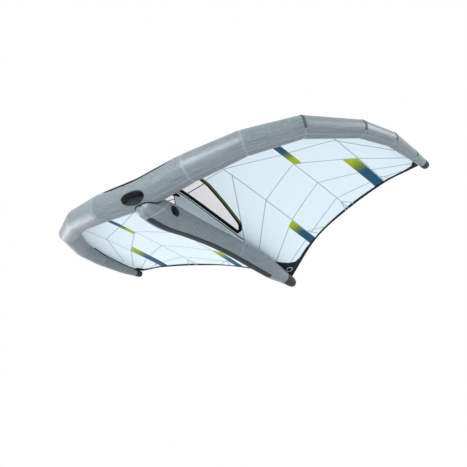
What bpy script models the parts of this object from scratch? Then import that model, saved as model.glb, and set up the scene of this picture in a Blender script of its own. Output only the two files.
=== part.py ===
"""Wingfoil wing: an inflatable leading edge and centre strut that carry a sewn canopy with two windows.

Lengths are in metres. X runs along the span, Y runs aft from the leading edge and Z is up.
Sizes are set in a design frame that starts at the front of the leading edge on the middle plane.
One parent empty moves the whole wing, so that its box stands on the origin.
"""

import math

import bmesh
import bpy
from mathutils import Matrix, Vector, geometry

FULL_TURN = 2.0 * math.pi
GAP = 0.0003
HALF_GAP = GAP / 2
MERGE = 0.00001
SHARP_ANGLE = math.radians(35)
UP = Vector((0.0, 0.0, 1.0))

# Leading edge tube: the joints between its straight cloth panels, from the middle plane to the tip.
TIP_REACH = 1.518
SWEEP_DEPTH = 1.539
TIP_RISE = 0.271
TUBE_RADIUS = 0.111
TUBE_SETBACK = 0.124
TUBE_HEIGHT = 0.079
JOINT_REACH_SHARES = (0.0, 0.278, 0.535, 0.758, 0.924, 0.984, 1.0, 1.0)
JOINT_SWEEP_SHARES = (0.0, 0.002, 0.069, 0.204, 0.445, 0.640, 0.847, 1.0)
JOINT_RISE_SHARES = (0.0, 0.130, 0.397, 0.675, 0.865, 0.934, 0.943, 1.0)
JOINT_RADIUS_SHARES = (1.0, 0.932, 0.814, 0.707, 0.568, 0.475, 0.354, 0.268)
TUBE_SIDES = 24
FACET = FULL_TURN / TUBE_SIDES
CASING_WALL = 0.001
BLADDER_WALL = 0.0008
BLADDER_END_GAP = 0.002
TIP_CAP_LENGTH = 0.015
TIP_CAP_SLEEVE = 0.03
TIP_CAP_WALL = 0.0012
TIP_CAP_FLOOR = 0.003
TIP_DOME_LENGTH_SHARES = (0.0, 0.5, 0.85, 1.0)
TIP_DOME_RADIUS_SHARES = (1.0, 0.92, 0.66, 0.3)

# Strut: stations along its axis, from the nose under the leading edge to the tail cap.
STRUT_FRONT = 0.088
STRUT_REAR_INSET = 0.142
STRUT_RADIUS = 0.105
STRUT_DROP = 0.072
STATION_SHARES = (0.0, 0.005, 0.014, 0.028, 0.049, 0.079, 0.145, 0.283, 0.448, 0.614, 0.779, 0.917, 1.0)
STATION_RADIUS_SHARES = (0.14, 0.45, 0.67, 0.78, 0.87, 0.955, 1.0, 0.857, 0.752, 0.752, 0.762, 0.686, 0.514)
STATION_DROP_SHARES = (0.25, 0.24, 0.24, 0.25, 0.245, 0.225, 0.24, 0.139, 0.083, 0.194, 0.486, 0.778, 0.917)
STATION_CLEARANCE = 0.001
NOSE_STATIONS = (0, 7)
MIDDLE_STATIONS = (7, 9)
TAIL_STATIONS = (9, 12)
STRUT_BLADDER_FRONT = 0.262
TAIL_CAP_LENGTH = 0.162
TAIL_CAP_DROP = 0.02
TAIL_CAP_WALL = 0.0025
TAIL_CAP_SHARES = (0.0, 0.33, 0.65, 0.85, 0.95, 1.0)
TAIL_CAP_RADIUS_SHARES = (1.0, 0.83, 0.72, 0.58, 0.42, 0.16)
TAIL_CAP_DROP_SHARES = (0.0, 0.15, 0.5, 0.75, 0.9, 1.0)
TAIL_CAP_BORE_RINGS = 3

# Keel strip under the strut, and the piping where the strut's nose meets the leading edge.
KEEL_FRONT = 0.168
KEEL_REAR_INSET = 0.222
KEEL_WIDTH = 0.054
KEEL_THICKNESS = 0.002
PIPING_RADIUS = 0.003
PIPING_STAND = 0.0011
PIPING_POINTS = 54
PIPING_SIDES = 6
PIPING_ANGLES = 720
PIPING_STEPS = 60
PIPING_HALVINGS = 10

# Canopy: one rib at each leading edge joint, with its trailing edge point and its camber.
CANOPY_THICKNESS = 0.001
TRAILING_REACH_SHARES = (0.0, 0.280, 0.534, 0.777, 0.900, 0.942, 0.962, 0.978)
TRAILING_DEPTH = 2.042
TRAILING_DEPTH_SHARES = (1.0, 0.88, 0.823, 0.796, 0.81, 0.816, 0.819, 0.8205)
TRAILING_DROP = 0.024
TRAILING_RISE = 0.401
TRAILING_RISE_SHARES = (0.0, 0.394, 0.638, 0.833, 0.938, 0.973, 0.992, 1.0)
CAMBER = 0.115
CAMBER_SHARES = (1.0, 0.9, 0.61, 0.39, 0.13, 0.05, 0.0, 0.0)
CAMBER_POWERS = (1.2, 0.85, 0.45, 0.5, 0.7, 1.0, 1.0, 1.0)
CAMBER_ONSET_SHARE = 0.08
LAST_RIB_SHARE = 0.83
SEAT_FACETS = 2
RIB_STEPS = (3, 3, 3, 3, 2, 1, 1)
CHORD_SHARES = (0.0, 0.03, 0.07, 0.13, 0.21, 0.31, 0.42, 0.54, 0.66, 0.78, 0.9, 1.0)
HEM_WIDTH = 0.018
HEM_THICKNESS = 0.0016

# Plan outlines of the pieces let into the canopy.
PATCH_THICKNESS = 0.0018
WINDOW_FRAME_WIDTH = 0.022
WINDOW_INNER_SIDE = 0.024
WINDOW_FRONT = 0.29
WINDOW_LENGTH = 0.915
WINDOW_REACH = 0.262
WINDOW_OUTER_REACH_SHARES = (1.0, 0.93, 0.74, 0.49, 0.29, 0.092)
WINDOW_OUTER_LENGTH_SHARES = (0.0, 0.32, 0.6, 0.92, 0.995, 1.0)
CLEW_DEPTH = 0.342
CLEW_LENGTH = 0.2
CLEW_REACH = 0.41
CLEW_REACH_SHARES = (0.0, 0.12, 0.24, 0.34, 0.49, 0.73, 1.0)
CLEW_LENGTH_SHARES = (0.0, 0.45, 0.82, 0.97, 0.9, 0.62, 0.42)
TIP_PATCH_WIDTH = 0.0796
TIP_PATCH_DEPTH = 0.1155
TIP_PATCH_SLANT = 0.085
TIP_PATCH_RUN = 0.062
OUTLINE_MARGIN = 0.3
PRISM_BOTTOM = -0.3
PRISM_TOP = 0.7

# Web that joins the strut to the canopy on the middle plane.
WEB_THICKNESS = 0.001
WEB_FRONT = 0.467
WEB_FRONT_LEAN = 0.022
WEB_REAR_INSET = 0.182
BINDING_HEIGHT = 0.009
BINDING_THICKNESS = 0.0008
WEB_PATCH_LENGTH = 0.06
WEB_PATCH_HEIGHT = 0.034

# Eyelets in the clew patches.
EYELET_REACH = 0.045
EYELET_INSET = 0.107
EYELET_BORE = 0.009
EYELET_RADIUS = 0.02
EYELET_RISE = 0.0022
EYELET_BARREL = 0.0015
EYELET_SIDES = 20

# Patches on the leading edge.
SCUFF_JOINTS = (3, 4, 5, 6)
SCUFF_WIDTH = 0.024
SCUFF_THICKNESS = 0.001
SCUFF_FIRST_FACET = -9
SCUFF_LAST_FACET = 1
CENTRE_PATCH_FIRST_FACET = -3
CENTRE_PATCH_LAST_FACET = 1
CENTRE_PATCH_REACH_SHARE = 0.96
CENTRE_PATCH_THICKNESS = 0.001

# Front handle on the leading edge: an oval patch under a padded grip that leans forward as it arches.
HANDLE_ANGLE = math.radians(-129)
HANDLE_OFFSET = -0.024
HANDLE_HALF_LENGTH = 0.1
HANDLE_PATCH_HALF_WIDTH = 0.051
HANDLE_PATCH_THICKNESS = 0.0015
HANDLE_PATCH_STAND = 0.0008
HANDLE_PATCH_RINGS = 4
HANDLE_PATCH_SIDES = 24
GRIP_STAND = 0.027
GRIP_LEAN = 0.028
GRIP_HALF_LENGTH = 0.094
GRIP_HALF_WIDTH = 0.016
GRIP_HALF_THICKNESS = 0.006
GRIP_ARCH_POWER = 0.8
GRIP_FULL_SHARE = 0.35
GRIP_END_WIDTH_SHARE = 0.85
GRIP_END_THICKNESS_SHARE = 0.45
GRIP_STATIONS = 13
GRIP_SIDES = 12
ANCHOR_LENGTH = 0.03
ANCHOR_HALF_WIDTH = 0.015
ANCHOR_THICKNESS = 0.0012
ANCHOR_LENGTH_SHARES = (0.0, 0.5, 1.0)
ANCHOR_WIDTH_SHARES = (-1.0, -0.5, 0.0, 0.5, 1.0)

# Inflation valve on the strut's right flank; its axis points along +X.
VALVE_SETBACK = 0.338
FLANGE_RADIUS = 0.037
FLANGE_POINT = 0.009
FLANGE_POINT_POWER = 4
FLANGE_THICKNESS = 0.0015
FLANGE_RINGS = 4
VALVE_SIDES = 24
BODY_RADIUS = 0.0155
BODY_BORE = 0.012
BODY_DEPTH = 0.014
BODY_NECK = 0.007
RIM_RADIUS = 0.022
RIM_LOW = 0.0024
RIM_HIGH = 0.0045
SEAT_BORE = 0.0085
SEAT_THICKNESS = 0.003
HUB_RADIUS = 0.0055
HUB_LOW = -0.0095
HUB_HIGH = -0.007
SPOKE_BARS = 2
SPOKE_WIDTH = 0.0025
UNION_OVERLAP = 0.00025
STEM_RADIUS = 0.003
STEM_HEAD_RADIUS = 0.0055
STEM_HEAD_LOW = 0.0002
STEM_HEAD_HIGH = 0.0018
POPPET_RADIUS = 0.011
POPPET_THICKNESS = 0.0025
SPRING_RADIUS = 0.0043
SPRING_WIRE = 0.00045
SPRING_TURNS = 4
SPRING_STEPS = 14
SPRING_SIDES = 5
CAP_RADIUS = 0.0195
CAP_SKIRT_BORE = 0.0163
CAP_LOW = 0.0049
CAP_PLATE_LOW = 0.0075
CAP_TOP = 0.0096
CAP_CHAMFER = 0.0012
HINGE_REACH = 0.0245
HINGE_HEIGHT = 0.0076
HINGE_DIRECTION = math.radians(-40)
EAR_RADIUS = 0.0026
EAR_HALF_WIDTH = 0.004
ARM_HALF_WIDTH = 0.0038
ARM_DROP = 0.0018
ARM_RISE = 0.0016
LUG_THICKNESS = 0.0026
LUG_REACH_OUT = 0.0024
LUG_REACH_IN = 0.0045
PIN_RADIUS = 0.0012
PIN_SIDES = 12
PIN_BORE_OVERRUN = 0.006
CASING_HOLE = 0.018

# Hose that joins the two bladders inside the strut's nose.
HOSE_RADIUS = 0.012
HOSE_BORE = 0.01
HOSE_HEIGHT = 0.03
HOSE_FRONT = 0.214
HOSE_REAR = 0.272
HOSE_SIDES = 16

# Colours as sRGB hex text, roughness and metallic of each finish.
FINISHES = {
    "woven_polyester_grey": ("8f9fa8", 0.55, 0.0),
    "bladder_film": ("c9d4d8", 0.4, 0.0),
    "canopy_ripstop": ("d9ecf7", 0.5, 0.0),
    "web_ripstop": ("b7c9d3", 0.5, 0.0),
    "window_film": ("dfe0e1", 0.2, 0.0),
    "black_binding": ("14181a", 0.7, 0.0),
    "dark_patch": ("2c3438", 0.65, 0.0),
    "moulded_rubber": ("3b454a", 0.6, 0.0),
    "valve_plastic": ("1b1f21", 0.45, 0.0),
    "spring_steel": ("b8bcc0", 0.3, 1.0),
    "eyelet_metal": ("b9c3c9", 0.3, 1.0),
    "hose_silicone": ("4a5256", 0.5, 0.0),
}


def linear_channel(value):
    """Turn one sRGB channel into linear light."""
    if value <= 0.04045:
        return value / 12.92
    return ((value + 0.055) / 1.055) ** 2.4


def linear_colour(text):
    """Turn sRGB hex text into a linear colour with full alpha."""
    channels = [int(text[start:start + 2], 16) / 255.0 for start in (0, 2, 4)]
    return tuple(linear_channel(value) for value in channels) + (1.0,)


def make_finish(name):
    """Make the Principled material of one finish."""
    text, roughness, metallic = FINISHES[name]
    material = bpy.data.materials.new(name)
    material.use_nodes = True
    shader = material.node_tree.nodes["Principled BSDF"]
    shader.inputs["Base Color"].default_value = linear_colour(text)
    shader.inputs["Roughness"].default_value = roughness
    shader.inputs["Metallic"].default_value = metallic
    material.diffuse_color = linear_colour(text)
    return material


def clean_mesh(mesh):
    """Merge doubled corners, split faces into triangles and drop slivers of no area."""
    work = bmesh.new()
    work.from_mesh(mesh)
    bmesh.ops.remove_doubles(work, verts=work.verts, dist=MERGE)
    bmesh.ops.triangulate(work, faces=work.faces)
    bmesh.ops.dissolve_degenerate(work, edges=work.edges, dist=MERGE)
    bmesh.ops.triangulate(work, faces=work.faces)
    work.to_mesh(mesh)
    work.free()
    mesh.update()


def add_solid(name, points, faces, finish=None):
    """Add one closed mesh object with outward faces."""
    mesh = bpy.data.meshes.new(name)
    mesh.from_pydata([tuple(point) for point in points], [], faces)
    work = bmesh.new()
    work.from_mesh(mesh)
    bmesh.ops.remove_doubles(work, verts=work.verts, dist=MERGE)
    bmesh.ops.triangulate(work, faces=work.faces)
    bmesh.ops.recalc_face_normals(work, faces=work.faces)
    work.to_mesh(mesh)
    work.free()
    if finish is not None:
        mesh.materials.append(finish)
    body = bpy.data.objects.new(name, mesh)
    bpy.context.collection.objects.link(body)
    return body


def carve(body, tool, operation="DIFFERENCE"):
    """Apply one exact Boolean of the tool to the body."""
    tool.hide_render = True
    tool.display_type = "WIRE"
    modifier = body.modifiers.new("carve", "BOOLEAN")
    modifier.solver = "EXACT"
    modifier.operation = operation
    modifier.object = tool
    bpy.context.view_layer.update()
    graph = bpy.context.evaluated_depsgraph_get()
    mesh = bpy.data.meshes.new_from_object(body.evaluated_get(graph))
    body.modifiers.clear()
    old = body.data
    body.data = mesh
    bpy.data.meshes.remove(old)
    mesh.name = body.name
    clean_mesh(mesh)
    bpy.data.objects.remove(tool)


def mirrored(points):
    """Mirror points in the middle plane."""
    return [Vector((-point.x, point.y, point.z)) for point in points]


def mirrored_grid(grid):
    """Mirror a grid of points in the middle plane."""
    return [mirrored(row) for row in grid]


def ring_faces(first, second, count):
    """Faces between two rings of the same number of corners."""
    faces = []
    for side in range(count):
        after = (side + 1) % count
        faces.append([first + side, first + after, second + after, second + side])
    return faces


def tube_solid(name, outer, inner=None, finish=None):
    """Skin rings into a solid; inner rings make it a tube with open ends."""
    count = len(outer[0])
    points = [point for ring in outer for point in ring]
    faces = []
    for index in range(len(outer) - 1):
        faces.extend(ring_faces(index * count, (index + 1) * count, count))
    last = len(points) - count
    if inner is None:
        faces.append(list(range(count)))
        faces.append([last + side for side in range(count)])
        return add_solid(name, points, faces, finish)
    base = len(points)
    points.extend(point for ring in inner for point in ring)
    for index in range(len(inner) - 1):
        faces.extend(ring_faces(base + index * count, base + (index + 1) * count, count))
    inner_last = len(points) - count
    faces.extend(ring_faces(0, base, count))
    faces.extend(ring_faces(last, inner_last, count))
    return add_solid(name, points, faces, finish)


def cup_solid(name, outer, inner, finish=None):
    """Skin rings into a cup: open at the first ring, closed at the last ones."""
    count = len(outer[0])
    points = [point for ring in outer for point in ring]
    faces = []
    for index in range(len(outer) - 1):
        faces.extend(ring_faces(index * count, (index + 1) * count, count))
    base = len(points)
    faces.append([base - count + side for side in range(count)])
    points.extend(point for ring in inner for point in ring)
    for index in range(len(inner) - 1):
        faces.extend(ring_faces(base + index * count, base + (index + 1) * count, count))
    faces.append([len(points) - count + side for side in range(count)])
    faces.extend(ring_faces(0, base, count))
    return add_solid(name, points, faces, finish)


def loop_solid(name, rings, finish=None):
    """Skin rings into a closed loop, such as a ring or a seam cord."""
    count = len(rings[0])
    points = [point for ring in rings for point in ring]
    faces = []
    for index in range(len(rings)):
        after = (index + 1) % len(rings)
        faces.extend(ring_faces(index * count, after * count, count))
    return add_solid(name, points, faces, finish)


def slab_solid(name, top, bottom, finish=None, around=False):
    """Close the space between two grids; around joins each row's ends into a ring."""
    rows = len(top)
    columns = len(top[0])
    points = [point for row in top for point in row]
    base = len(points)
    points.extend(point for row in bottom for point in row)
    faces = []
    spans = columns if around else columns - 1
    for row in range(rows - 1):
        for column in range(spans):
            after = (column + 1) % columns
            corners = (row * columns + column, row * columns + after,
                       (row + 1) * columns + after, (row + 1) * columns + column)
            first, second, third, fourth = corners
            faces.append([first, second, third])
            faces.append([first, third, fourth])
            faces.append([base + third, base + second, base + first])
            faces.append([base + fourth, base + third, base + first])
    for row in (0, rows - 1):
        for column in range(spans):
            after = (column + 1) % columns
            first = row * columns + column
            second = row * columns + after
            faces.append([first, second, base + second, base + first])
    if not around:
        for column in (0, columns - 1):
            for row in range(rows - 1):
                first = row * columns + column
                second = (row + 1) * columns + column
                faces.append([first, second, base + second, base + first])
    return add_solid(name, points, faces, finish)


def prism_solid(name, outline, low=PRISM_BOTTOM, high=PRISM_TOP, finish=None):
    """Extrude a plan outline along Z."""
    count = len(outline)
    points = [Vector((x, y, low)) for x, y in outline]
    points.extend(Vector((x, y, high)) for x, y in outline)
    faces = [list(range(count)), list(range(count, 2 * count))]
    faces.extend(ring_faces(0, count, count))
    return add_solid(name, points, faces, finish)


def inset_outline(outline, distance):
    """Move each edge of a plan outline inward by a distance."""
    count = len(outline)
    corners = [Vector(corner) for corner in outline]
    area = sum(corners[index - 1].cross(corners[index]) for index in range(count))
    turn = 1.0 if area > 0.0 else -1.0
    result = []
    for index in range(count):
        before = (corners[index] - corners[index - 1]).normalized()
        after = (corners[(index + 1) % count] - corners[index]).normalized()
        inward_before = Vector((-before.y, before.x)) * turn
        inward_after = Vector((-after.y, after.x)) * turn
        middle = (inward_before + inward_after).normalized()
        reach = distance / middle.dot(inward_after)
        corner = corners[index] + middle * reach
        result.append((corner.x, corner.y))
    return result


def lathe_rings(profile, sides):
    """Turn (radius, height) pairs into rings around Z."""
    rings = []
    for radius, height in profile:
        ring = []
        for side in range(sides):
            angle = FULL_TURN * side / sides
            ring.append(Vector((radius * math.cos(angle), radius * math.sin(angle), height)))
        rings.append(ring)
    return rings


def blend(shares, position):
    """Read a row of values at a whole or part step with a smooth cubic curve."""
    last = len(shares) - 1
    index = min(int(position), last - 1)
    part = position - index
    before = shares[max(index - 1, 0)]
    start = shares[index]
    end = shares[index + 1]
    after = shares[min(index + 2, last)]
    rise_start = (end - before) / 2
    rise_end = (after - start) / 2
    if index == 0:
        rise_start = end - start
    if index == last - 1:
        rise_end = end - start
    square = part * part
    cube = square * part
    return (start * (2 * cube - 3 * square + 1) + rise_start * (cube - 2 * square + part)
            + end * (3 * square - 2 * cube) + rise_end * (cube - square))


class TubeFrame:
    """Right half of the leading edge: joint centres, panel directions and facet frames."""

    def __init__(self):
        self.centres = []
        self.radii = []
        for reach, sweep, rise, radius in zip(JOINT_REACH_SHARES, JOINT_SWEEP_SHARES,
                                              JOINT_RISE_SHARES, JOINT_RADIUS_SHARES):
            self.centres.append(Vector((TIP_REACH * reach, TUBE_SETBACK + SWEEP_DEPTH * sweep,
                                        TUBE_HEIGHT + TIP_RISE * rise)))
            self.radii.append(TUBE_RADIUS * radius)
        self.directions = []
        for index in range(len(self.centres) - 1):
            self.directions.append((self.centres[index + 1] - self.centres[index]).normalized())
        lift = (UP - self.directions[0] * UP.dot(self.directions[0])).normalized()
        self.lifts = [lift]
        for index in range(1, len(self.directions)):
            turn = self.directions[index - 1].rotation_difference(self.directions[index])
            lift = turn @ lift
            self.lifts.append(lift)

    def spoke(self, panel, angle):
        """Unit direction around a panel: zero is up and a quarter turn is aft or inward."""
        back = self.lifts[panel].cross(self.directions[panel])
        return self.lifts[panel] * math.cos(angle) + back * math.sin(angle)

    def mitre(self, joint):
        """Normal of the plane where two panels meet."""
        if joint == 0:
            return Vector((1.0, 0.0, 0.0))
        if joint == len(self.centres) - 1:
            return self.directions[-1]
        return (self.directions[joint - 1] + self.directions[joint]).normalized()

    def rim_point(self, panel, joint, angle, grow=0.0, shift=0.0):
        """Point on a panel's end ring; grow adds to the radius and shift moves along the panel."""
        direction = self.directions[panel]
        normal = self.mitre(joint)
        spoke = self.spoke(panel, angle)
        spoke = spoke - direction * (spoke.dot(normal) / direction.dot(normal))
        return self.centres[joint] + spoke * (self.radii[joint] + grow) + direction * shift

    def ring(self, panel, joint, grow=0.0, shift=0.0):
        """Whole end ring of a panel, with a facet centred on the top."""
        angles = [FACET * (side + 0.5) for side in range(TUBE_SIDES)]
        return [self.rim_point(panel, joint, angle, grow, shift) for angle in angles]

    def panel_length(self, panel):
        """Length of one panel along its axis."""
        return (self.centres[panel + 1] - self.centres[panel]).length

    def between(self, panel, share, angle, grow=0.0):
        """Point on a panel part of the way along it."""
        start = self.rim_point(panel, panel, angle, grow)
        end = self.rim_point(panel, panel + 1, angle, grow)
        return start.lerp(end, share)


class StrutShape:
    """Side profile of the strut as rows of setback, radius and centre height."""

    def __init__(self):
        length = TRAILING_DEPTH - STRUT_REAR_INSET - STRUT_FRONT
        self.setbacks = [STRUT_FRONT + length * share for share in STATION_SHARES]
        self.radii = [STRUT_RADIUS * share for share in STATION_RADIUS_SHARES]
        self.heights = [-STRUT_DROP * share for share in STATION_DROP_SHARES]

    def read(self, row, setback):
        """Read a row at any setback along straight runs between stations."""
        stations = self.setbacks
        if setback <= stations[0]:
            return row[0]
        for index in range(len(stations) - 1):
            if setback <= stations[index + 1]:
                share = (setback - stations[index]) / (stations[index + 1] - stations[index])
                return row[index] + (row[index + 1] - row[index]) * share
        return row[-1]

    def point(self, setback, angle, grow=0.0, shift=0.0):
        """Point around the strut: zero is up and a quarter turn is to the right."""
        radius = self.read(self.radii, setback) + grow
        height = self.read(self.heights, setback)
        return Vector((radius * math.sin(angle), setback + shift, height + radius * math.cos(angle)))

    def ring(self, setback, grow=0.0, shift=0.0):
        """Whole ring with a facet centred on the top and one on the bottom."""
        angles = [FACET * (side + 0.5) for side in range(TUBE_SIDES)]
        return [self.point(setback, angle, grow, shift) for angle in angles]

    def facet_height(self, setback, grow, sign):
        """Height of the flat top (sign 1) or bottom (sign -1) facet."""
        radius = self.read(self.radii, setback) + grow
        return self.read(self.heights, setback) + sign * radius * math.cos(FACET / 2)

    def runs(self, start, end):
        """Setbacks of the stations inside a run, with both of its ends."""
        inside = [value for value in self.setbacks
                  if start + STATION_CLEARANCE < value < end - STATION_CLEARANCE]
        return [start] + inside + [end]


class CanopyShape:
    """Right half of the canopy as a grid of ribs and chord steps."""

    def __init__(self, tube):
        self.tube = tube
        self.stations = []
        for panel, steps in enumerate(RIB_STEPS):
            for step in range(steps):
                self.stations.append(panel + step / steps)
        self.stations.append(float(len(RIB_STEPS)))

    def rib_ends(self, station):
        """Front point on the tube and trailing edge point of a rib."""
        panel = min(int(station), len(RIB_STEPS) - 1)
        share = station - panel
        if panel == len(RIB_STEPS) - 1:
            share = share * LAST_RIB_SHARE
        seat = FACET * SEAT_FACETS
        inset = self.tube.radii[panel] * (1.0 - math.cos(FACET / 2))
        stand = GAP + PATCH_THICKNESS / 2 - inset
        front = self.tube.between(panel, share, seat, stand)
        rear = Vector((TIP_REACH * blend(TRAILING_REACH_SHARES, station),
                       TRAILING_DEPTH * blend(TRAILING_DEPTH_SHARES, station),
                       TRAILING_RISE * blend(TRAILING_RISE_SHARES, station) - TRAILING_DROP))
        return front, rear

    def point(self, station, share):
        """Point on the canopy's middle surface."""
        front, rear = self.rib_ends(station)
        height = CAMBER * max(blend(CAMBER_SHARES, station), 0.0)
        power = blend(CAMBER_POWERS, station)
        bulge = (1.0 - share) ** power * (1.0 - math.exp(-share / CAMBER_ONSET_SHARE))
        place = front.lerp(rear, share)
        place.z += height * bulge
        return place

    def hem_share(self, station):
        """Chord share at which the trailing edge hem starts."""
        front, rear = self.rib_ends(station)
        return 1.0 - HEM_WIDTH / (rear - front).length

    def grid(self, part="whole"):
        """Grid of middle points: the cloth, the hem or the whole chord."""
        rows = []
        for station in self.stations:
            hem = self.hem_share(station)
            front, rear = self.rib_ends(station)
            seam = GAP / (rear - front).length
            cloth = [share * hem for share in CHORD_SHARES]
            if part == "cloth":
                shares = cloth
            elif part == "hem":
                shares = [hem + seam, 1.0]
            else:
                shares = cloth + [1.0]
            row = [self.point(station, share) for share in shares]
            if station == 0.0:
                for place in row:
                    place.x = HALF_GAP
            rows.append(row)
        return rows


def grid_normals(grid):
    """Unit normals of a grid of points, kept in the middle plane along the first row."""
    rows = len(grid)
    columns = len(grid[0])
    normals = []
    for row in range(rows):
        line = []
        for column in range(columns):
            across = grid[min(row + 1, rows - 1)][column] - grid[max(row - 1, 0)][column]
            along = grid[row][min(column + 1, columns - 1)] - grid[row][max(column - 1, 0)]
            if row == 0:
                across = Vector((1.0, 0.0, 0.0))
            normal = across.cross(along).normalized()
            line.append(normal)
        normals.append(line)
    return normals


def sheet_grids(grid, thickness):
    """Upper and lower grids of a sheet around its middle surface."""
    normals = grid_normals(grid)
    upper = []
    lower = []
    for row, line in zip(grid, normals):
        upper.append([place + normal * (thickness / 2) for place, normal in zip(row, line)])
        lower.append([place - normal * (thickness / 2) for place, normal in zip(row, line)])
    return upper, lower


class WingBuilder:
    """Builds every piece of the wing in the design frame."""

    def __init__(self):
        self.finishes = {name: make_finish(name) for name in FINISHES}
        self.tube = TubeFrame()
        self.strut = StrutShape()
        self.canopy = CanopyShape(self.tube)
        self.parts = []

    def keep(self, body):
        """Record a finished piece and shade its round faces smooth."""
        body.data.shade_smooth()
        body.data.set_sharp_from_angle(angle=SHARP_ANGLE)
        self.parts.append(body)
        return body

    def both_sides(self, name, maker):
        """Build a piece for the right and the left side."""
        for side, mirror in (("right", False), ("left", True)):
            self.keep(maker(name + "_" + side, mirror))

    def panel_rings(self, panel, grow, mirror=False, shift=HALF_GAP):
        """End rings of one leading edge panel, drawn in by the seam gap."""
        rings = [self.tube.ring(panel, panel, grow, shift), self.tube.ring(panel, panel + 1, grow, -shift)]
        if mirror:
            rings = [mirrored(ring) for ring in rings]
        return rings

    def centre_rings(self, grow, shift=HALF_GAP):
        """Rings of the panel that crosses the middle plane."""
        middle = self.tube.ring(0, 0, grow)
        outer = self.tube.ring(0, 1, grow, -shift)
        return [mirrored(outer), middle, outer]

    def hose_cutter(self, name):
        """Cylinder that opens a wall for the hose."""
        rings = lathe_rings(((HOSE_RADIUS + GAP, 0.0), (HOSE_RADIUS + GAP, HOSE_REAR - HOSE_FRONT)), HOSE_SIDES)
        cutter = tube_solid(name, rings)
        place = Matrix.Translation((0.0, HOSE_FRONT, HOSE_HEIGHT)) @ Matrix.Rotation(-FULL_TURN / 4, 4, "X")
        cutter.data.transform(place)
        return cutter

    def build_leading_edge(self):
        """Casing panels, the bladder inside them and the tip caps."""
        cloth = self.finishes["woven_polyester_grey"]
        body = tube_solid("le_panel_centre", self.centre_rings(0.0), self.centre_rings(-CASING_WALL), cloth)
        carve(body, self.hose_cutter("hose_hole"))
        self.keep(body)
        for panel in range(1, len(self.tube.directions)):
            def maker(name, mirror, panel=panel):
                return tube_solid(name, self.panel_rings(panel, 0.0, mirror),
                                  self.panel_rings(panel, -CASING_WALL, mirror), cloth)
            self.both_sides("le_panel_" + str(panel + 1), maker)
        self.build_leading_bladder()
        self.both_sides("le_tip_cap", self.tip_cap)

    def half_rings(self, grow, end_gap):
        """Rings at each joint of the right half, ending short of the tip."""
        rings = []
        last = len(self.tube.centres) - 1
        for joint in range(1, last):
            rings.append(self.tube.ring(joint, joint, grow))
        rings.append(self.tube.ring(last - 1, last, grow, -end_gap))
        return rings

    def full_rings(self, grow, end_gap):
        """Rings from the left tip to the right tip."""
        right = self.half_rings(grow, end_gap)
        left = [mirrored(ring) for ring in reversed(right)]
        return left + [self.tube.ring(0, 0, grow)] + right

    def build_leading_bladder(self):
        """One air bladder from tip to tip, opened for the hose."""
        grow = -CASING_WALL - GAP
        film = self.finishes["bladder_film"]
        body = tube_solid("le_bladder", self.full_rings(grow, BLADDER_END_GAP), None, film)
        hollow = tube_solid("le_hollow", self.full_rings(grow - BLADDER_WALL, BLADDER_END_GAP + BLADDER_WALL))
        carve(body, hollow)
        carve(body, self.hose_cutter("hose_hole"))
        self.keep(body)

    def tip_cap(self, name, mirror):
        """Moulded cup over the end of the tube."""
        tube = self.tube
        last = len(tube.directions) - 1
        length = tube.panel_length(last)
        share = 1.0 - TIP_CAP_SLEEVE / length
        angles = [FACET * (side + 0.5) for side in range(TUBE_SIDES)]
        outer = [[tube.between(last, share, angle, GAP + TIP_CAP_WALL) for angle in angles]]
        inner = [[tube.between(last, share, angle, GAP) for angle in angles]]
        inner.append(tube.ring(last, last + 1, GAP, TIP_CAP_FLOOR / 2))
        full = tube.radii[-1] + GAP + TIP_CAP_WALL
        for run, wide in zip(TIP_DOME_LENGTH_SHARES, TIP_DOME_RADIUS_SHARES):
            outer.append(tube.ring(last, last + 1, full * wide - tube.radii[-1], TIP_CAP_LENGTH * run))
        if mirror:
            outer = mirrored_grid(outer)
            inner = mirrored_grid(inner)
        return cup_solid(name, outer, inner, self.finishes["moulded_rubber"])

    def strut_rings(self, stations, grow, front_gap=HALF_GAP, rear_gap=HALF_GAP):
        """Rings of a run of strut stations, drawn in by the seam gap."""
        first, last = stations
        setbacks = self.strut.setbacks
        rings = [self.strut.ring(setbacks[first], grow, front_gap)]
        for index in range(first + 1, last):
            rings.append(self.strut.ring(setbacks[index], grow))
        rings.append(self.strut.ring(setbacks[last], grow, -rear_gap))
        return rings

    def tube_cutter(self, name, grow):
        """Solid leading edge tube around the middle plane, used to shape the strut's nose."""
        return tube_solid(name, self.centre_rings(grow, 0.0))

    def valve_cutter(self, name, radius):
        """Cylinder that opens the strut's right wall for the valve."""
        rings = lathe_rings(((radius, 0.0), (radius, STRUT_RADIUS)), VALVE_SIDES)
        cutter = tube_solid(name, rings)
        cutter.data.transform(self.valve_place() @ Matrix.Translation((0.0, 0.0, -STRUT_RADIUS / 2)))
        return cutter

    def valve_place(self):
        """Frame of the valve: its Z axis points along +X from the strut's flank."""
        radius = self.strut.read(self.strut.radii, VALVE_SETBACK)
        height = self.strut.read(self.strut.heights, VALVE_SETBACK)
        return Matrix.Translation((radius, VALVE_SETBACK, height)) @ Matrix.Rotation(FULL_TURN / 4, 4, "Y")

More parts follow.
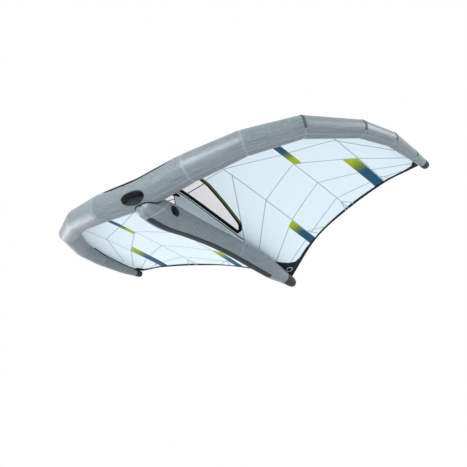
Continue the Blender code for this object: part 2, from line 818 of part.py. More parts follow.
    def build_strut(self):
        """Casing panels, the bladder, the tail cap, the keel strip and the nose piping."""
        cloth = self.finishes["woven_polyester_grey"]
        nose = tube_solid("strut_panel_nose", self.strut_rings(NOSE_STATIONS, 0.0), None, cloth)
        bore_rings = self.strut_rings(NOSE_STATIONS, -CASING_WALL, CASING_WALL, -CASING_WALL)
        carve(nose, tube_solid("nose_bore", bore_rings))
        carve(nose, self.tube_cutter("nose_saddle", GAP))
        carve(nose, self.valve_cutter("valve_hole", CASING_HOLE))
        self.keep(nose)
        for name, stations in (("strut_panel_middle", MIDDLE_STATIONS), ("strut_panel_tail", TAIL_STATIONS)):
            self.keep(tube_solid(name, self.strut_rings(stations, 0.0),
                                 self.strut_rings(stations, -CASING_WALL), cloth))
        self.build_strut_bladder()
        self.build_tail_cap()
        self.build_keel()
        self.build_piping()

    def bladder_rings(self, grow, inset):
        """Rings of the strut bladder between its two closed ends."""
        setbacks = self.strut.runs(STRUT_BLADDER_FRONT + inset, self.strut.setbacks[-1] - BLADDER_END_GAP - inset)
        return [self.strut.ring(setback, grow) for setback in setbacks]

    def build_strut_bladder(self):
        """Air bladder of the strut, opened for the valve and the hose."""
        grow = -CASING_WALL - GAP
        body = tube_solid("strut_bladder", self.bladder_rings(grow, 0.0), None, self.finishes["bladder_film"])
        carve(body, tube_solid("strut_hollow", self.bladder_rings(grow - BLADDER_WALL, BLADDER_WALL)))
        carve(body, self.hose_cutter("hose_hole"))
        carve(body, self.valve_cutter("valve_hole", BODY_RADIUS + GAP))
        self.keep(body)

    def tail_rings(self, grow, count):
        """Rings of the tail cap from the casing's end backward."""
        rings = []
        setback = self.strut.setbacks[-1]
        radius = self.strut.radii[-1]
        height = self.strut.heights[-1]
        rows = zip(TAIL_CAP_SHARES[:count], TAIL_CAP_RADIUS_SHARES[:count], TAIL_CAP_DROP_SHARES[:count])
        for run, wide, drop in rows:
            size = radius * wide + grow
            ring = []
            for side in range(TUBE_SIDES):
                angle = FACET * (side + 0.5)
                ring.append(Vector((size * math.sin(angle), setback + HALF_GAP + TAIL_CAP_LENGTH * run,
                                    height - TAIL_CAP_DROP * drop + size * math.cos(angle))))
            rings.append(ring)
        return rings

    def build_tail_cap(self):
        """Moulded cup that closes the strut's tail."""
        outer = self.tail_rings(0.0, len(TAIL_CAP_SHARES))
        inner = self.tail_rings(-TAIL_CAP_WALL, TAIL_CAP_BORE_RINGS)
        self.keep(cup_solid("strut_tail_cap", outer, inner, self.finishes["moulded_rubber"]))

    def build_keel(self):
        """Strip of heavy cloth that lies along the strut's underside."""
        top = []
        bottom = []
        for setback in self.strut.runs(KEEL_FRONT, self.strut.setbacks[-1] - KEEL_REAR_INSET):
            radius = self.strut.read(self.strut.radii, setback)
            share = (KEEL_WIDTH / 2 / radius - FACET / 2) / FACET
            for grid, grow in ((top, GAP), (bottom, GAP + KEEL_THICKNESS)):
                near_right = self.strut.point(setback, FULL_TURN / 2 - FACET / 2, grow)
                far_right = self.strut.point(setback, FULL_TURN / 2 - FACET * 3 / 2, grow)
                near_left = self.strut.point(setback, FULL_TURN / 2 + FACET / 2, grow)
                far_left = self.strut.point(setback, FULL_TURN / 2 + FACET * 3 / 2, grow)
                grid.append([near_left.lerp(far_left, share), near_left,
                             near_right, near_right.lerp(far_right, share)])
        self.keep(slab_solid("keel_strip", top, bottom, self.finishes["dark_patch"]))

    def tube_distance(self, place):
        """Distance of a point from the leading edge tube's axis beyond its radius."""
        start = self.tube.centres[0]
        side = Vector((abs(place.x), place.y, place.z))
        run = self.tube.centres[1] - start
        share = (side - start).dot(run) / run.length_squared
        share = min(max(share, 0.0), 1.0)
        radius = self.tube.radii[0] + (self.tube.radii[1] - self.tube.radii[0]) * share
        return (side - start - run * share).length - radius

    def nose_profile(self, stand):
        """Side profile of the strut's nose moved outward by a distance."""
        rows = [(self.strut.setbacks[0], 0.0, self.strut.heights[0])]
        first, last = NOSE_STATIONS
        for index in range(first, last + 1):
            rows.append((self.strut.setbacks[index], self.strut.radii[index], self.strut.heights[index]))
        moved = []
        for index, (setback, radius, height) in enumerate(rows):
            before = rows[max(index - 1, 0)]
            after = rows[min(index + 1, len(rows) - 1)]
            run = Vector((after[0] - before[0], after[1] - before[1])).normalized()
            moved.append((setback - run.y * stand, radius + run.x * stand, height))
        moved[0] = (rows[0][0] - stand, 0.0, rows[0][2])
        return moved

    def nose_point(self, profile, angle, position):
        """Point along the moved nose profile at one angle around the strut."""
        index = min(int(position), len(profile) - 2)
        share = position - index
        start = profile[index]
        end = profile[index + 1]
        setback, radius, height = (one + (two - one) * share for one, two in zip(start, end))
        return Vector((radius * math.sin(angle), setback, height + radius * math.cos(angle)))

    def piping_centre(self, profile, angle, stand):
        """First point along the nose at one angle that clears the leading edge tube."""
        inside = 0.0
        outside = float(len(profile) - 1)
        for step in range(PIPING_STEPS + 1):
            position = outside * step / PIPING_STEPS
            if self.tube_distance(self.nose_point(profile, angle, position)) >= stand:
                outside = position
                break
            inside = position
        for halving in range(PIPING_HALVINGS):
            middle = (inside + outside) / 2
            if self.tube_distance(self.nose_point(profile, angle, middle)) >= stand:
                outside = middle
            else:
                inside = middle
        return self.nose_point(profile, angle, outside)

    def build_piping(self):
        """Cord that covers the seam between the strut's nose and the leading edge."""
        stand = PIPING_RADIUS + PIPING_STAND
        profile = self.nose_profile(stand)
        path = [self.piping_centre(profile, FULL_TURN * index / PIPING_ANGLES, stand)
                for index in range(PIPING_ANGLES)]
        path = even_loop(path, PIPING_POINTS)
        self.keep(loop_solid("nose_piping", cord_rings(path, PIPING_RADIUS, PIPING_SIDES, True),
                             self.finishes["black_binding"]))

    def build_web(self):
        """Cloth web between the strut and the canopy, with its binding and corner patch."""
        rib = self.canopy.grid()[0]
        drop = PATCH_THICKNESS / 2 + GAP
        top = [(place.y, place.z - drop) for place in rib]

        def canopy_height(setback):
            for (start, low), (end, high) in zip(top, top[1:]):
                if start <= setback <= end:
                    return low + (high - low) * (setback - start) / (end - start)
            return top[-1][1]

        front_top = WEB_FRONT - WEB_FRONT_LEAN
        rear_end = TRAILING_DEPTH - WEB_REAR_INSET
        inside = [setback for setback, height in top if front_top < setback < rear_end]
        upper = [front_top] + inside + [rear_end]
        lower = self.strut.runs(WEB_FRONT, rear_end)
        outline = [(setback, self.strut.facet_height(setback, GAP, 1.0)) for setback in lower]
        outline.extend((setback, canopy_height(setback)) for setback in reversed(upper))
        self.keep(side_plate("strut_web", outline, -WEB_THICKNESS / 2, WEB_THICKNESS / 2,
                             self.finishes["web_ripstop"]))
        self.build_web_binding(front_top, upper, canopy_height)

    def build_web_binding(self, front_top, upper, canopy_height):
        """Tape along the web's top edge, folded around the free front corner."""
        near = WEB_THICKNESS / 2 + GAP
        far = near + BINDING_THICKNESS
        wrap = front_top - GAP - BINDING_THICKNESS
        step = front_top + WEB_PATCH_LENGTH
        rear = max(value for value in upper if canopy_height(value) - 2 * BINDING_HEIGHT
                   > self.strut.facet_height(value, 0.0, 1.0))
        along = [step] + [value for value in upper if step < value < rear] + [rear]
        over = [wrap] + [value for value in upper if wrap < value < rear] + [rear]
        outline = [(wrap, canopy_height(wrap) - WEB_PATCH_HEIGHT)]
        outline.extend((value, canopy_height(value) - BINDING_HEIGHT) for value in along)
        outline.extend((value, canopy_height(value) - GAP) for value in reversed(over))
        body = side_plate("web_binding", outline, near, far, self.finishes["black_binding"])
        carve(body, side_plate("other_side", outline, -far, -near), "UNION")
        low = canopy_height(wrap) - WEB_PATCH_HEIGHT + BINDING_THICKNESS
        high = canopy_height(wrap) - GAP - BINDING_THICKNESS
        fold = box_solid("fold", (-(near + far) / 2, (near + far) / 2), (wrap + HALF_GAP, front_top - GAP),
                         (low, high))
        carve(body, fold, "UNION")
        self.keep(body)

    def window_outline(self):
        """Plan outline of the hole for one window."""
        outline = [(WINDOW_INNER_SIDE, WINDOW_FRONT)]
        for reach, run in zip(WINDOW_OUTER_REACH_SHARES, WINDOW_OUTER_LENGTH_SHARES):
            outline.append((WINDOW_REACH * reach, WINDOW_FRONT + WINDOW_LENGTH * run))
        return outline[:-1] + [(WINDOW_INNER_SIDE, WINDOW_FRONT + WINDOW_LENGTH)]

    def clew_outline(self):
        """Plan outline of the clew patch, run out past the trailing edge."""
        front = TRAILING_DEPTH - CLEW_DEPTH
        outline = [(-OUTLINE_MARGIN / 2, front)]
        for reach, run in zip(CLEW_REACH_SHARES, CLEW_LENGTH_SHARES):
            outline.append((CLEW_REACH * reach, front + CLEW_LENGTH * run))
        outline.append((CLEW_REACH, TRAILING_DEPTH + OUTLINE_MARGIN))
        outline.append((-OUTLINE_MARGIN / 2, TRAILING_DEPTH + OUTLINE_MARGIN))
        return outline

    def tip_outline(self):
        """Plan outline of the tip patch, run out past the trailing edge."""
        inner = TIP_REACH * TRAILING_REACH_SHARES[-1] - TIP_PATCH_WIDTH
        front = TRAILING_DEPTH * TRAILING_DEPTH_SHARES[-1] - TIP_PATCH_DEPTH
        return [(inner, front + TIP_PATCH_SLANT), (inner + TIP_PATCH_RUN, front),
                (TIP_REACH + OUTLINE_MARGIN, front), (TIP_REACH + OUTLINE_MARGIN, TRAILING_DEPTH),
                (inner, TRAILING_DEPTH)]

    def sheet(self, name, part, thickness, mirror, finish):
        """Sheet solid over one part of the canopy grid."""
        upper, lower = sheet_grids(self.canopy.grid(part), thickness)
        if mirror:
            upper = mirrored_grid(upper)
            lower = mirrored_grid(lower)
        return slab_solid(name, upper, lower, self.finishes[finish])

    def prism(self, name, outline, mirror):
        """Plan prism for one side."""
        if mirror:
            outline = [(-x, y) for x, y in outline]
        return prism_solid(name, outline)

    def canopy_cloth(self, name, mirror):
        """Canopy cloth of one side with its openings."""
        body = self.sheet(name, "cloth", CANOPY_THICKNESS, mirror, "canopy_ripstop")
        for outline in (self.window_outline(), self.clew_outline(), self.tip_outline()):
            carve(body, self.prism("opening", outline, mirror))
        return body

    def canopy_hem(self, name, mirror):
        """Folded hem along the trailing edge of one side."""
        body = self.sheet(name, "hem", HEM_THICKNESS, mirror, "dark_patch")
        for outline in (self.clew_outline(), self.tip_outline()):
            carve(body, self.prism("opening", outline, mirror))
        return body

    def canopy_inlay(self, outline, finish, inner=None, thickness=PATCH_THICKNESS):
        """Maker of a piece that fills an opening, with an optional hole in it."""
        def maker(name, mirror):
            body = self.sheet(name, "whole", thickness, mirror, finish)
            carve(body, self.prism("outline", inset_outline(outline, GAP), mirror), "INTERSECT")
            if inner is not None:
                carve(body, self.prism("hole", inner, mirror))
            return body
        return maker

    def build_canopy(self):
        """Canopy cloth, windows, frames, hems and patches of both sides."""
        self.both_sides("canopy", self.canopy_cloth)
        self.both_sides("te_hem", self.canopy_hem)
        window = self.window_outline()
        pane = inset_outline(window, WINDOW_FRAME_WIDTH)
        self.both_sides("window_frame", self.canopy_inlay(window, "black_binding", pane))
        self.both_sides("window", self.canopy_inlay(pane, "window_film", None, CANOPY_THICKNESS))
        self.both_sides("tip_patch", self.canopy_inlay(self.tip_outline(), "dark_patch"))
        self.build_clew()

    def surface_at(self, reach, setback):
        """Point and normal of the canopy's middle surface over a plan point."""
        grid = self.canopy.grid()
        target = Vector((reach, setback))
        for row in range(len(grid) - 1):
            for column in range(len(grid[0]) - 1):
                near = grid[row][column]
                far = grid[row + 1][column + 1]
                for side in (grid[row][column + 1], grid[row + 1][column]):
                    if geometry.intersect_point_tri_2d(target, near.xy, side.xy, far.xy):
                        normal = (side - near).cross(far - near).normalized()
                        if normal.z < 0.0:
                            normal.negate()
                        offset = Vector((reach - near.x, setback - near.y, 0.0))
                        return Vector((reach, setback, near.z - normal.dot(offset) / normal.z)), normal
        raise ValueError("the plan point is outside the canopy")

    def build_clew(self):
        """Clew patches with a metal eyelet in each."""
        place, normal = self.surface_at(EYELET_REACH, TRAILING_DEPTH - EYELET_INSET)
        spin = UP.rotation_difference(normal).to_matrix().to_4x4()
        frame = Matrix.Translation(place) @ spin
        for side, mirror in (("right", False), ("left", True)):
            body = self.canopy_inlay(self.clew_outline(), "dark_patch")("clew_patch_" + side, mirror)
            hole = EYELET_BORE + EYELET_BARREL + GAP
            cutter = tube_solid("eyelet_hole", lathe_rings(((hole, -EYELET_RADIUS), (hole, EYELET_RADIUS)),
                                                           EYELET_SIDES))
            cutter.data.transform(frame)
            eyelet = self.eyelet("clew_eyelet_" + side, frame)
            if mirror:
                mirror_mesh(cutter)
                mirror_mesh(eyelet)
            carve(body, cutter)
            self.keep(body)
            self.keep(eyelet)

    def eyelet(self, name, frame):
        """Spool-shaped eyelet that holds the patch between two rims."""
        low = PATCH_THICKNESS / 2 + GAP
        high = low + EYELET_RISE
        edge = EYELET_RADIUS - EYELET_RISE / 2
        barrel = EYELET_BORE + EYELET_BARREL
        profile = ((EYELET_BORE, -high + EYELET_RISE / 2), (EYELET_BORE, high - EYELET_RISE / 2),
                   (EYELET_BORE + EYELET_RISE / 2, high), (edge, high), (EYELET_RADIUS, low),
                   (barrel, low), (barrel, -low), (EYELET_RADIUS, -low),
                   (edge, -high), (EYELET_BORE + EYELET_RISE / 2, -high))
        body = loop_solid(name, lathe_rings(profile, EYELET_SIDES), self.finishes["eyelet_metal"])
        body.data.transform(frame)
        return body

    def build_scuffs(self):
        """Strips over the panel joints and the patch over the centre panel."""
        finish = self.finishes["dark_patch"]
        tube = self.tube
        facets = [FACET * (index + 0.5) for index in range(SCUFF_FIRST_FACET - 1, SCUFF_LAST_FACET)]

        def strip(joint):
            def maker(name, mirror):
                grids = []
                for grow in (GAP + SCUFF_THICKNESS, GAP):
                    rows = []
                    for panel, shift in ((joint - 1, -SCUFF_WIDTH / 2), (joint - 1, 0.0), (joint, SCUFF_WIDTH / 2)):
                        share = shift / tube.panel_length(panel)
                        if panel < joint:
                            share += 1.0
                        rows.append([tube.between(panel, share, angle, grow) for angle in facets])
                    grids.append(mirrored_grid(rows) if mirror else rows)
                return slab_solid(name, grids[0], grids[1], finish)
            return maker

        for joint in SCUFF_JOINTS:
            self.both_sides("scuff_strip_" + str(joint), strip(joint))
        facets = [FACET * (index + 0.5) for index in range(CENTRE_PATCH_FIRST_FACET - 1, CENTRE_PATCH_LAST_FACET)]
        grids = []
        for grow in (GAP + CENTRE_PATCH_THICKNESS, GAP):
            outer = [tube.between(0, CENTRE_PATCH_REACH_SHARE, angle, grow) for angle in facets]
            middle = [tube.rim_point(0, 0, angle, grow) for angle in facets]
            grids.append([mirrored(outer), middle, outer])
        self.keep(slab_solid("le_centre_patch", grids[0], grids[1], finish))

    def handle_point(self, reach, across, stand):
        """Point over the leading edge near the handle, in distances along and around the tube."""
        reach += HANDLE_OFFSET
        share = abs(reach) / self.tube.panel_length(0)
        angle = HANDLE_ANGLE + across / self.tube.radii[0]
        place = self.tube.between(0, share, angle, stand)
        if reach < 0.0:
            place.x = -place.x
        return place

    def build_handle(self):
        """Oval patch, two sewn anchors and the padded grip that arches over the patch."""
        outer = []
        inner = []
        low = HANDLE_PATCH_STAND
        high = low + HANDLE_PATCH_THICKNESS
        for ring in range(HANDLE_PATCH_RINGS + 1):
            size = max(ring / HANDLE_PATCH_RINGS, GAP / HANDLE_HALF_LENGTH)
            for grid, stand in ((outer, high), (inner, low)):
                row = []
                for side in range(HANDLE_PATCH_SIDES):
                    angle = FULL_TURN * side / HANDLE_PATCH_SIDES
                    row.append(self.handle_point(HANDLE_HALF_LENGTH * size * math.cos(angle),
                                                 HANDLE_PATCH_HALF_WIDTH * size * math.sin(angle), stand))
                grid.append(row)
        count = HANDLE_PATCH_SIDES
        points = [place for row in outer for place in row]
        base = len(points)
        points.extend(place for row in inner for place in row)
        faces = [list(range(count)), [base + side for side in range(count)]]
        for ring in range(HANDLE_PATCH_RINGS):
            faces.extend(ring_faces(ring * count, (ring + 1) * count, count))
            faces.extend(ring_faces(base + ring * count, base + (ring + 1) * count, count))
        faces.extend(ring_faces(HANDLE_PATCH_RINGS * count, base + HANDLE_PATCH_RINGS * count, count))
        self.keep(add_solid("handle_patch", points, faces, self.finishes["dark_patch"]))
        floor = high + GAP
        for side, sign in (("right", 1.0), ("left", -1.0)):
            grids = []
            for stand in (floor + ANCHOR_THICKNESS, floor):
                rows = []
                for along in ANCHOR_LENGTH_SHARES:
                    reach = sign * (GRIP_HALF_LENGTH - ANCHOR_LENGTH * along)
                    rows.append([self.handle_point(reach, ANCHOR_HALF_WIDTH * across, stand)
                                 for across in ANCHOR_WIDTH_SHARES])
                grids.append(rows)
            self.keep(slab_solid("handle_anchor_" + side, grids[0], grids[1], self.finishes["black_binding"]))
        self.build_grip(floor + ANCHOR_THICKNESS + GAP)

    def build_grip(self, floor):
        """Padded bar that starts flat on one anchor and ends flat on the other."""
        rings = []
        for index in range(GRIP_STATIONS):
            along = 2 * index / (GRIP_STATIONS - 1) - 1.0
            arch = max(1.0 - along * along, 0.0) ** GRIP_ARCH_POWER
            fill = min(arch / GRIP_FULL_SHARE, 1.0)
            thick = GRIP_HALF_THICKNESS * (GRIP_END_THICKNESS_SHARE + (1.0 - GRIP_END_THICKNESS_SHARE) * fill)
            wide = GRIP_HALF_WIDTH * (GRIP_END_WIDTH_SHARE + (1.0 - GRIP_END_WIDTH_SHARE) * fill)
            rise = floor + thick + GRIP_STAND * arch
            ring = []
            for side in range(GRIP_SIDES):
                angle = FULL_TURN * side / GRIP_SIDES
                ring.append(self.handle_point(GRIP_HALF_LENGTH * along, GRIP_LEAN * arch + wide * math.cos(angle),
                                              rise + thick * math.sin(angle)))
            rings.append(ring)
        self.keep(tube_solid("handle_grip", rings, None, self.finishes["black_binding"]))

    def build_valve(self):
        """Flange, body, stem, spring, hinge pin and cap of the inflation valve."""
        self.build_flange()
        place = self.valve_place()
        plastic = self.finishes["valve_plastic"]
        turn = Matrix.Rotation(HINGE_DIRECTION + FULL_TURN / 4, 4, "Z")
        hinge = turn @ Matrix.Translation((HINGE_REACH, 0.0, HINGE_HEIGHT))
        body = loop_solid("valve_body", lathe_rings((
            (BODY_RADIUS, -BODY_DEPTH), (BODY_RADIUS, RIM_LOW), (RIM_RADIUS, RIM_LOW), (RIM_RADIUS, RIM_HIGH),
            (BODY_RADIUS, RIM_HIGH), (BODY_RADIUS, BODY_NECK), (BODY_BORE, BODY_NECK),
            (BODY_BORE, -BODY_DEPTH + SEAT_THICKNESS), (SEAT_BORE, -BODY_DEPTH + SEAT_THICKNESS),
            (SEAT_BORE, -BODY_DEPTH)), VALVE_SIDES), plastic)
        overlap = BODY_BORE + (BODY_RADIUS - BODY_BORE) / 2
        for index in range(SPOKE_BARS):
            spoke = box_solid("spoke", (-overlap, overlap), (-SPOKE_WIDTH / 2, SPOKE_WIDTH / 2), (HUB_LOW, HUB_HIGH))
            spoke.data.transform(Matrix.Rotation(FULL_TURN * (index + 0.5) / (2 * SPOKE_BARS), 4, "Z"))
            carve(body, spoke, "UNION")
        carve(body, tube_solid("hub", lathe_rings(((HUB_RADIUS, HUB_LOW - UNION_OVERLAP), (HUB_RADIUS, HUB_HIGH)),
                                                  VALVE_SIDES)), "UNION")
        carve(body, tube_solid("guide", lathe_rings(((STEM_RADIUS + GAP, -BODY_DEPTH), (STEM_RADIUS + GAP, 0.0)),
                                                    VALVE_SIDES)))
        for sign in (1.0, -1.0):
            near = sign * (EAR_HALF_WIDTH + GAP)
            far = sign * (EAR_HALF_WIDTH + GAP + LUG_THICKNESS)
            lug = box_solid("lug", (HINGE_REACH - LUG_REACH_IN, HINGE_REACH + LUG_REACH_OUT),
                            (min(near, far), max(near, far)), (RIM_LOW + UNION_OVERLAP, HINGE_HEIGHT + EAR_RADIUS))
            lug.data.transform(turn)
            carve(body, lug, "UNION")
        across = Matrix.Rotation(FULL_TURN / 4, 4, "X")
        reach = EAR_HALF_WIDTH + GAP + LUG_THICKNESS
        out = reach + PIN_BORE_OVERRUN
        bore = tube_solid("bore", lathe_rings(((PIN_RADIUS + GAP, -out), (PIN_RADIUS + GAP, out)), PIN_SIDES))
        bore.data.transform(hinge @ across)
        carve(body, bore)
        body.matrix_world = place
        self.keep(body)
        pin = tube_solid("valve_hinge_pin", lathe_rings(((PIN_RADIUS, -reach), (PIN_RADIUS, reach)), PIN_SIDES),
                         None, self.finishes["spring_steel"])
        pin.matrix_world = place @ hinge @ across
        self.keep(pin)
        self.build_stem(place)
        self.build_cap(place, turn, hinge, across)

    def build_flange(self):
        """Rubber flange that follows the strut's flank, egg-shaped toward the hinge."""
        grids = []
        base = self.strut.read(self.strut.heights, VALVE_SETBACK)
        hole = BODY_RADIUS + GAP
        for grow in (GAP + FLANGE_THICKNESS, GAP):
            rows = []
            for ring in range(FLANGE_RINGS + 1):
                row = []
                for side in range(VALVE_SIDES):
                    angle = FULL_TURN * side / VALVE_SIDES
                    toward = max(math.cos(angle - HINGE_DIRECTION), 0.0)
                    edge = FLANGE_RADIUS + FLANGE_POINT * toward ** FLANGE_POINT_POWER
                    size = hole + (edge - hole) * ring / FLANGE_RINGS
                    setback = VALVE_SETBACK + size * math.cos(angle)
                    rise = size * math.sin(angle)
                    radius = self.strut.read(self.strut.radii, setback) + grow
                    centre = self.strut.read(self.strut.heights, setback)
                    height = base + rise
                    reach = math.sqrt(radius * radius - (height - centre) * (height - centre))
                    row.append(Vector((reach, setback, height)))
                rows.append(row)
            grids.append(rows)
        self.keep(slab_solid("valve_flange", grids[0], grids[1], self.finishes["valve_plastic"], True))

    def build_stem(self, place):
        """Sprung poppet that lets air in and is pressed to let it out."""
        top = -BODY_DEPTH - GAP
        stem = tube_solid("valve_stem", lathe_rings((
            (POPPET_RADIUS, top - POPPET_THICKNESS), (POPPET_RADIUS, top), (STEM_RADIUS, top),
            (STEM_RADIUS, STEM_HEAD_LOW), (STEM_HEAD_RADIUS, STEM_HEAD_LOW),
            (STEM_HEAD_RADIUS, STEM_HEAD_HIGH)), VALVE_SIDES), None, self.finishes["valve_plastic"])
        stem.matrix_world = place
        self.keep(stem)
        low = HUB_HIGH + SPRING_WIRE + GAP
        high = STEM_HEAD_LOW - SPRING_WIRE - GAP
        steps = SPRING_TURNS * SPRING_STEPS
        path = []
        for step in range(steps + 1):
            angle = FULL_TURN * step / SPRING_STEPS
            path.append(Vector((SPRING_RADIUS * math.cos(angle), SPRING_RADIUS * math.sin(angle),
                                low + (high - low) * step / steps)))
        spring = tube_solid("valve_spring", cord_rings(path, SPRING_WIRE, SPRING_SIDES, False), None,
                            self.finishes["spring_steel"])
        spring.matrix_world = place
        self.keep(spring)

    def build_cap(self, place, turn, hinge, across):
        """Cap with its ear around the hinge pin; its origin is on the pin's axis."""
        plastic = self.finishes["valve_plastic"]
        cap = cup_solid("valve_cap", lathe_rings((
            (CAP_RADIUS, CAP_LOW), (CAP_RADIUS, CAP_TOP - CAP_CHAMFER), (CAP_RADIUS - CAP_CHAMFER, CAP_TOP)),
            VALVE_SIDES), lathe_rings(((CAP_SKIRT_BORE, CAP_LOW), (CAP_SKIRT_BORE, CAP_PLATE_LOW)), VALVE_SIDES),
            plastic)
        ear = tube_solid("ear", lathe_rings(((EAR_RADIUS, -EAR_HALF_WIDTH), (EAR_RADIUS, EAR_HALF_WIDTH)),
                                            PIN_SIDES))
        ear.data.transform(hinge @ across)
        arm = box_solid("arm", (CAP_SKIRT_BORE + (CAP_RADIUS - CAP_SKIRT_BORE) / 2, HINGE_REACH),
                        (-ARM_HALF_WIDTH, ARM_HALF_WIDTH), (HINGE_HEIGHT - ARM_DROP, HINGE_HEIGHT + ARM_RISE))
        arm.data.transform(turn)
        carve(cap, arm, "UNION")
        carve(cap, ear, "UNION")
        bore = tube_solid("bore", lathe_rings(((PIN_RADIUS + GAP, -CAP_RADIUS), (PIN_RADIUS + GAP, CAP_RADIUS)),
                                              PIN_SIDES))
        bore.data.transform(hinge @ across)
        carve(cap, bore)
        cap.data.transform(hinge.inverted())
        cap.matrix_world = place @ hinge
        self.keep(cap)

    def build_hose(self):
        """Short hose between the leading edge bladder and the strut bladder."""
        run = HOSE_REAR - HOSE_FRONT
        hose = loop_solid("bladder_hose", lathe_rings(((HOSE_RADIUS, 0.0), (HOSE_RADIUS, run), (HOSE_BORE, run),
                                                       (HOSE_BORE, 0.0)), HOSE_SIDES),
                          self.finishes["hose_silicone"])
        hose.matrix_world = (Matrix.Translation((0.0, HOSE_FRONT, HOSE_HEIGHT))
                             @ Matrix.Rotation(-FULL_TURN / 4, 4, "X"))
        self.keep(hose)

    def place_on_origin(self):
        """Hang every piece on one empty that stands the wing's box on the origin."""
        bpy.context.view_layer.update()
        corners = [body.matrix_world @ vertex.co for body in self.parts for vertex in body.data.vertices]
        low = min(corner.z for corner in corners)
        front = min(corner.y for corner in corners)
        rear = max(corner.y for corner in corners)
        frame = bpy.data.objects.new("wing_frame", None)
        bpy.context.collection.objects.link(frame)
        for body in self.parts:
            body.parent = frame
        frame.location = (0.0, -(front + rear) / 2, -low)

    def build(self):
        """Build the whole wing."""
        self.build_leading_edge()
        self.build_strut()
        self.build_web()
        self.build_canopy()
        self.build_scuffs()
        self.build_handle()
        self.build_valve()
        self.build_hose()
        self.place_on_origin()


def mirror_mesh(body):
    """Mirror a mesh in the middle plane and keep its faces outward."""
    body.data.transform(Matrix.Scale(-1.0, 4, Vector((1.0, 0.0, 0.0))))
    body.data.flip_normals()


def box_solid(name, across, along, up):
    """Box between low and high values on each axis."""
    points = [Vector((x, y, z)) for x in across for y in along for z in up]
    faces = [[0, 1, 3, 2], [4, 6, 7, 5], [0, 4, 5, 1], [2, 3, 7, 6], [0, 2, 6, 4], [1, 5, 7, 3]]
    return add_solid(name, points, faces)


def side_plate(name, outline, near, far, finish=None):
    """Plate between two X values with an outline of (setback, height) corners."""
    count = len(outline)
    points = [Vector((near, setback, height)) for setback, height in outline]
    points.extend(Vector((far, setback, height)) for setback, height in outline)
    faces = [list(range(count)), list(range(count, 2 * count))]
    faces.extend(ring_faces(0, count, count))
    return add_solid(name, points, faces, finish)


def even_loop(path, count):
    """Spread points evenly along a closed path."""
    closed = path + [path[0]]
    reached = [0.0]
    for start, end in zip(closed, closed[1:]):
        reached.append(reached[-1] + (end - start).length)
    result = []
    index = 0
    for step in range(count):
        target = reached[-1] * step / count
        while reached[index + 1] < target:
            index += 1
        share = (target - reached[index]) / (reached[index + 1] - reached[index])
        result.append(closed[index].lerp(closed[index + 1], share))
    return result


def cord_rings(path, radius, sides, closed):
    """Rings around a path with no twist between neighbours."""
    count = len(path)
    rings = []
    lift = None
    for index in range(count):
        if closed:
            run = path[(index + 1) % count] - path[index - 1]
        else:
            run = path[min(index + 1, count - 1)] - path[max(index - 1, 0)]
        run.normalize()
        if lift is None:
            lift = run.orthogonal()
        lift = (lift - run * lift.dot(run)).normalized()
        side = run.cross(lift)
        ring = []
        for step in range(sides):
            angle = FULL_TURN * step / sides
            ring.append(path[index] + lift * (radius * math.cos(angle)) + side * (radius * math.sin(angle)))
        rings.append(ring)
    return rings


def main():
    """Clear the scene and build the wing."""
    for item in list(bpy.data.objects):
        bpy.data.objects.remove(item)
    WingBuilder().build()


if __name__ == "__main__":
    main()
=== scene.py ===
"""Dress the wingfoil wing: sewn cloth skins, seams, printed stripes, windows, patches and fittings.

Lengths are in metres. X runs along the span, Y runs aft and Z is up.
Sizes are set in the wing's own frame, which starts at the front of the leading edge on the middle plane.
"""

import logging
import math
from collections.abc import Iterator
from contextlib import contextmanager
from dataclasses import dataclass, field
from enum import Enum

import bmesh
import bpy
import numpy as np
from mathutils import Matrix, Vector
from mathutils.bvhtree import BVHTree


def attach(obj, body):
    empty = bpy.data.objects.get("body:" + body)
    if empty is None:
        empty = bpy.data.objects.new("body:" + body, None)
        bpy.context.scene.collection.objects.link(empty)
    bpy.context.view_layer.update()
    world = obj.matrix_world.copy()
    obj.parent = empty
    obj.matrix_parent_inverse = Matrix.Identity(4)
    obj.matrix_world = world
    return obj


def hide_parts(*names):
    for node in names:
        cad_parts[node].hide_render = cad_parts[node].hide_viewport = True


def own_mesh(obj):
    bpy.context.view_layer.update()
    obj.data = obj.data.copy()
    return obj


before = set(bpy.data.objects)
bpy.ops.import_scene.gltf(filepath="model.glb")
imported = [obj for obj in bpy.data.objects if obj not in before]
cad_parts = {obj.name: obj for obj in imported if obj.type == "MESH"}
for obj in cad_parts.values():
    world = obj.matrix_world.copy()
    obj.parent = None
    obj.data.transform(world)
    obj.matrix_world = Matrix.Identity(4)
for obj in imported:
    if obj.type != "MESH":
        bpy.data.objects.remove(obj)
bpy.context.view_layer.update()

MM = 0.001
METRE = 1.0
FULL_TURN = 2.0 * math.pi
PLACE = "cloth_place"
SEAMS = "cloth_seams"
WING = "wing"
WHITE = (1.0, 1.0, 1.0, 1.0)
LOG = logging.getLogger("wing")

# Place of the wing's own frame in the world.
WING_SHIFT = np.array((0.0, -1021.274 * MM, 127.43 * MM))
# Setback and height of the valve's axis, which runs straight out of the strut's right flank.
VALVE_CENTRE = (338 * MM, -17.165 * MM)

# The sRGB curve: end and slope of its straight part, then the offset and power of the rest.
SRGB_KNEE = 0.04045
SRGB_SLOPE = 12.92
SRGB_OFFSET = 0.055
SRGB_POWER = 2.4

Tree = bpy.types.NodeTree
Node = bpy.types.Node
Socket = bpy.types.NodeSocket
Material = bpy.types.Material
Mesh = bpy.types.Mesh
Piece = bpy.types.Object
OpenMesh = bmesh.types.BMesh
Face = bmesh.types.BMFace
Outline = list[tuple[float, float]]


class Side(Enum):
    """Half of the wing that a piece belongs to, with the sign of its X."""

    RIGHT = 1.0
    LEFT = -1.0

    @property
    def word(self) -> str:
        """Lower-case word used in names."""
        return self.name.lower()


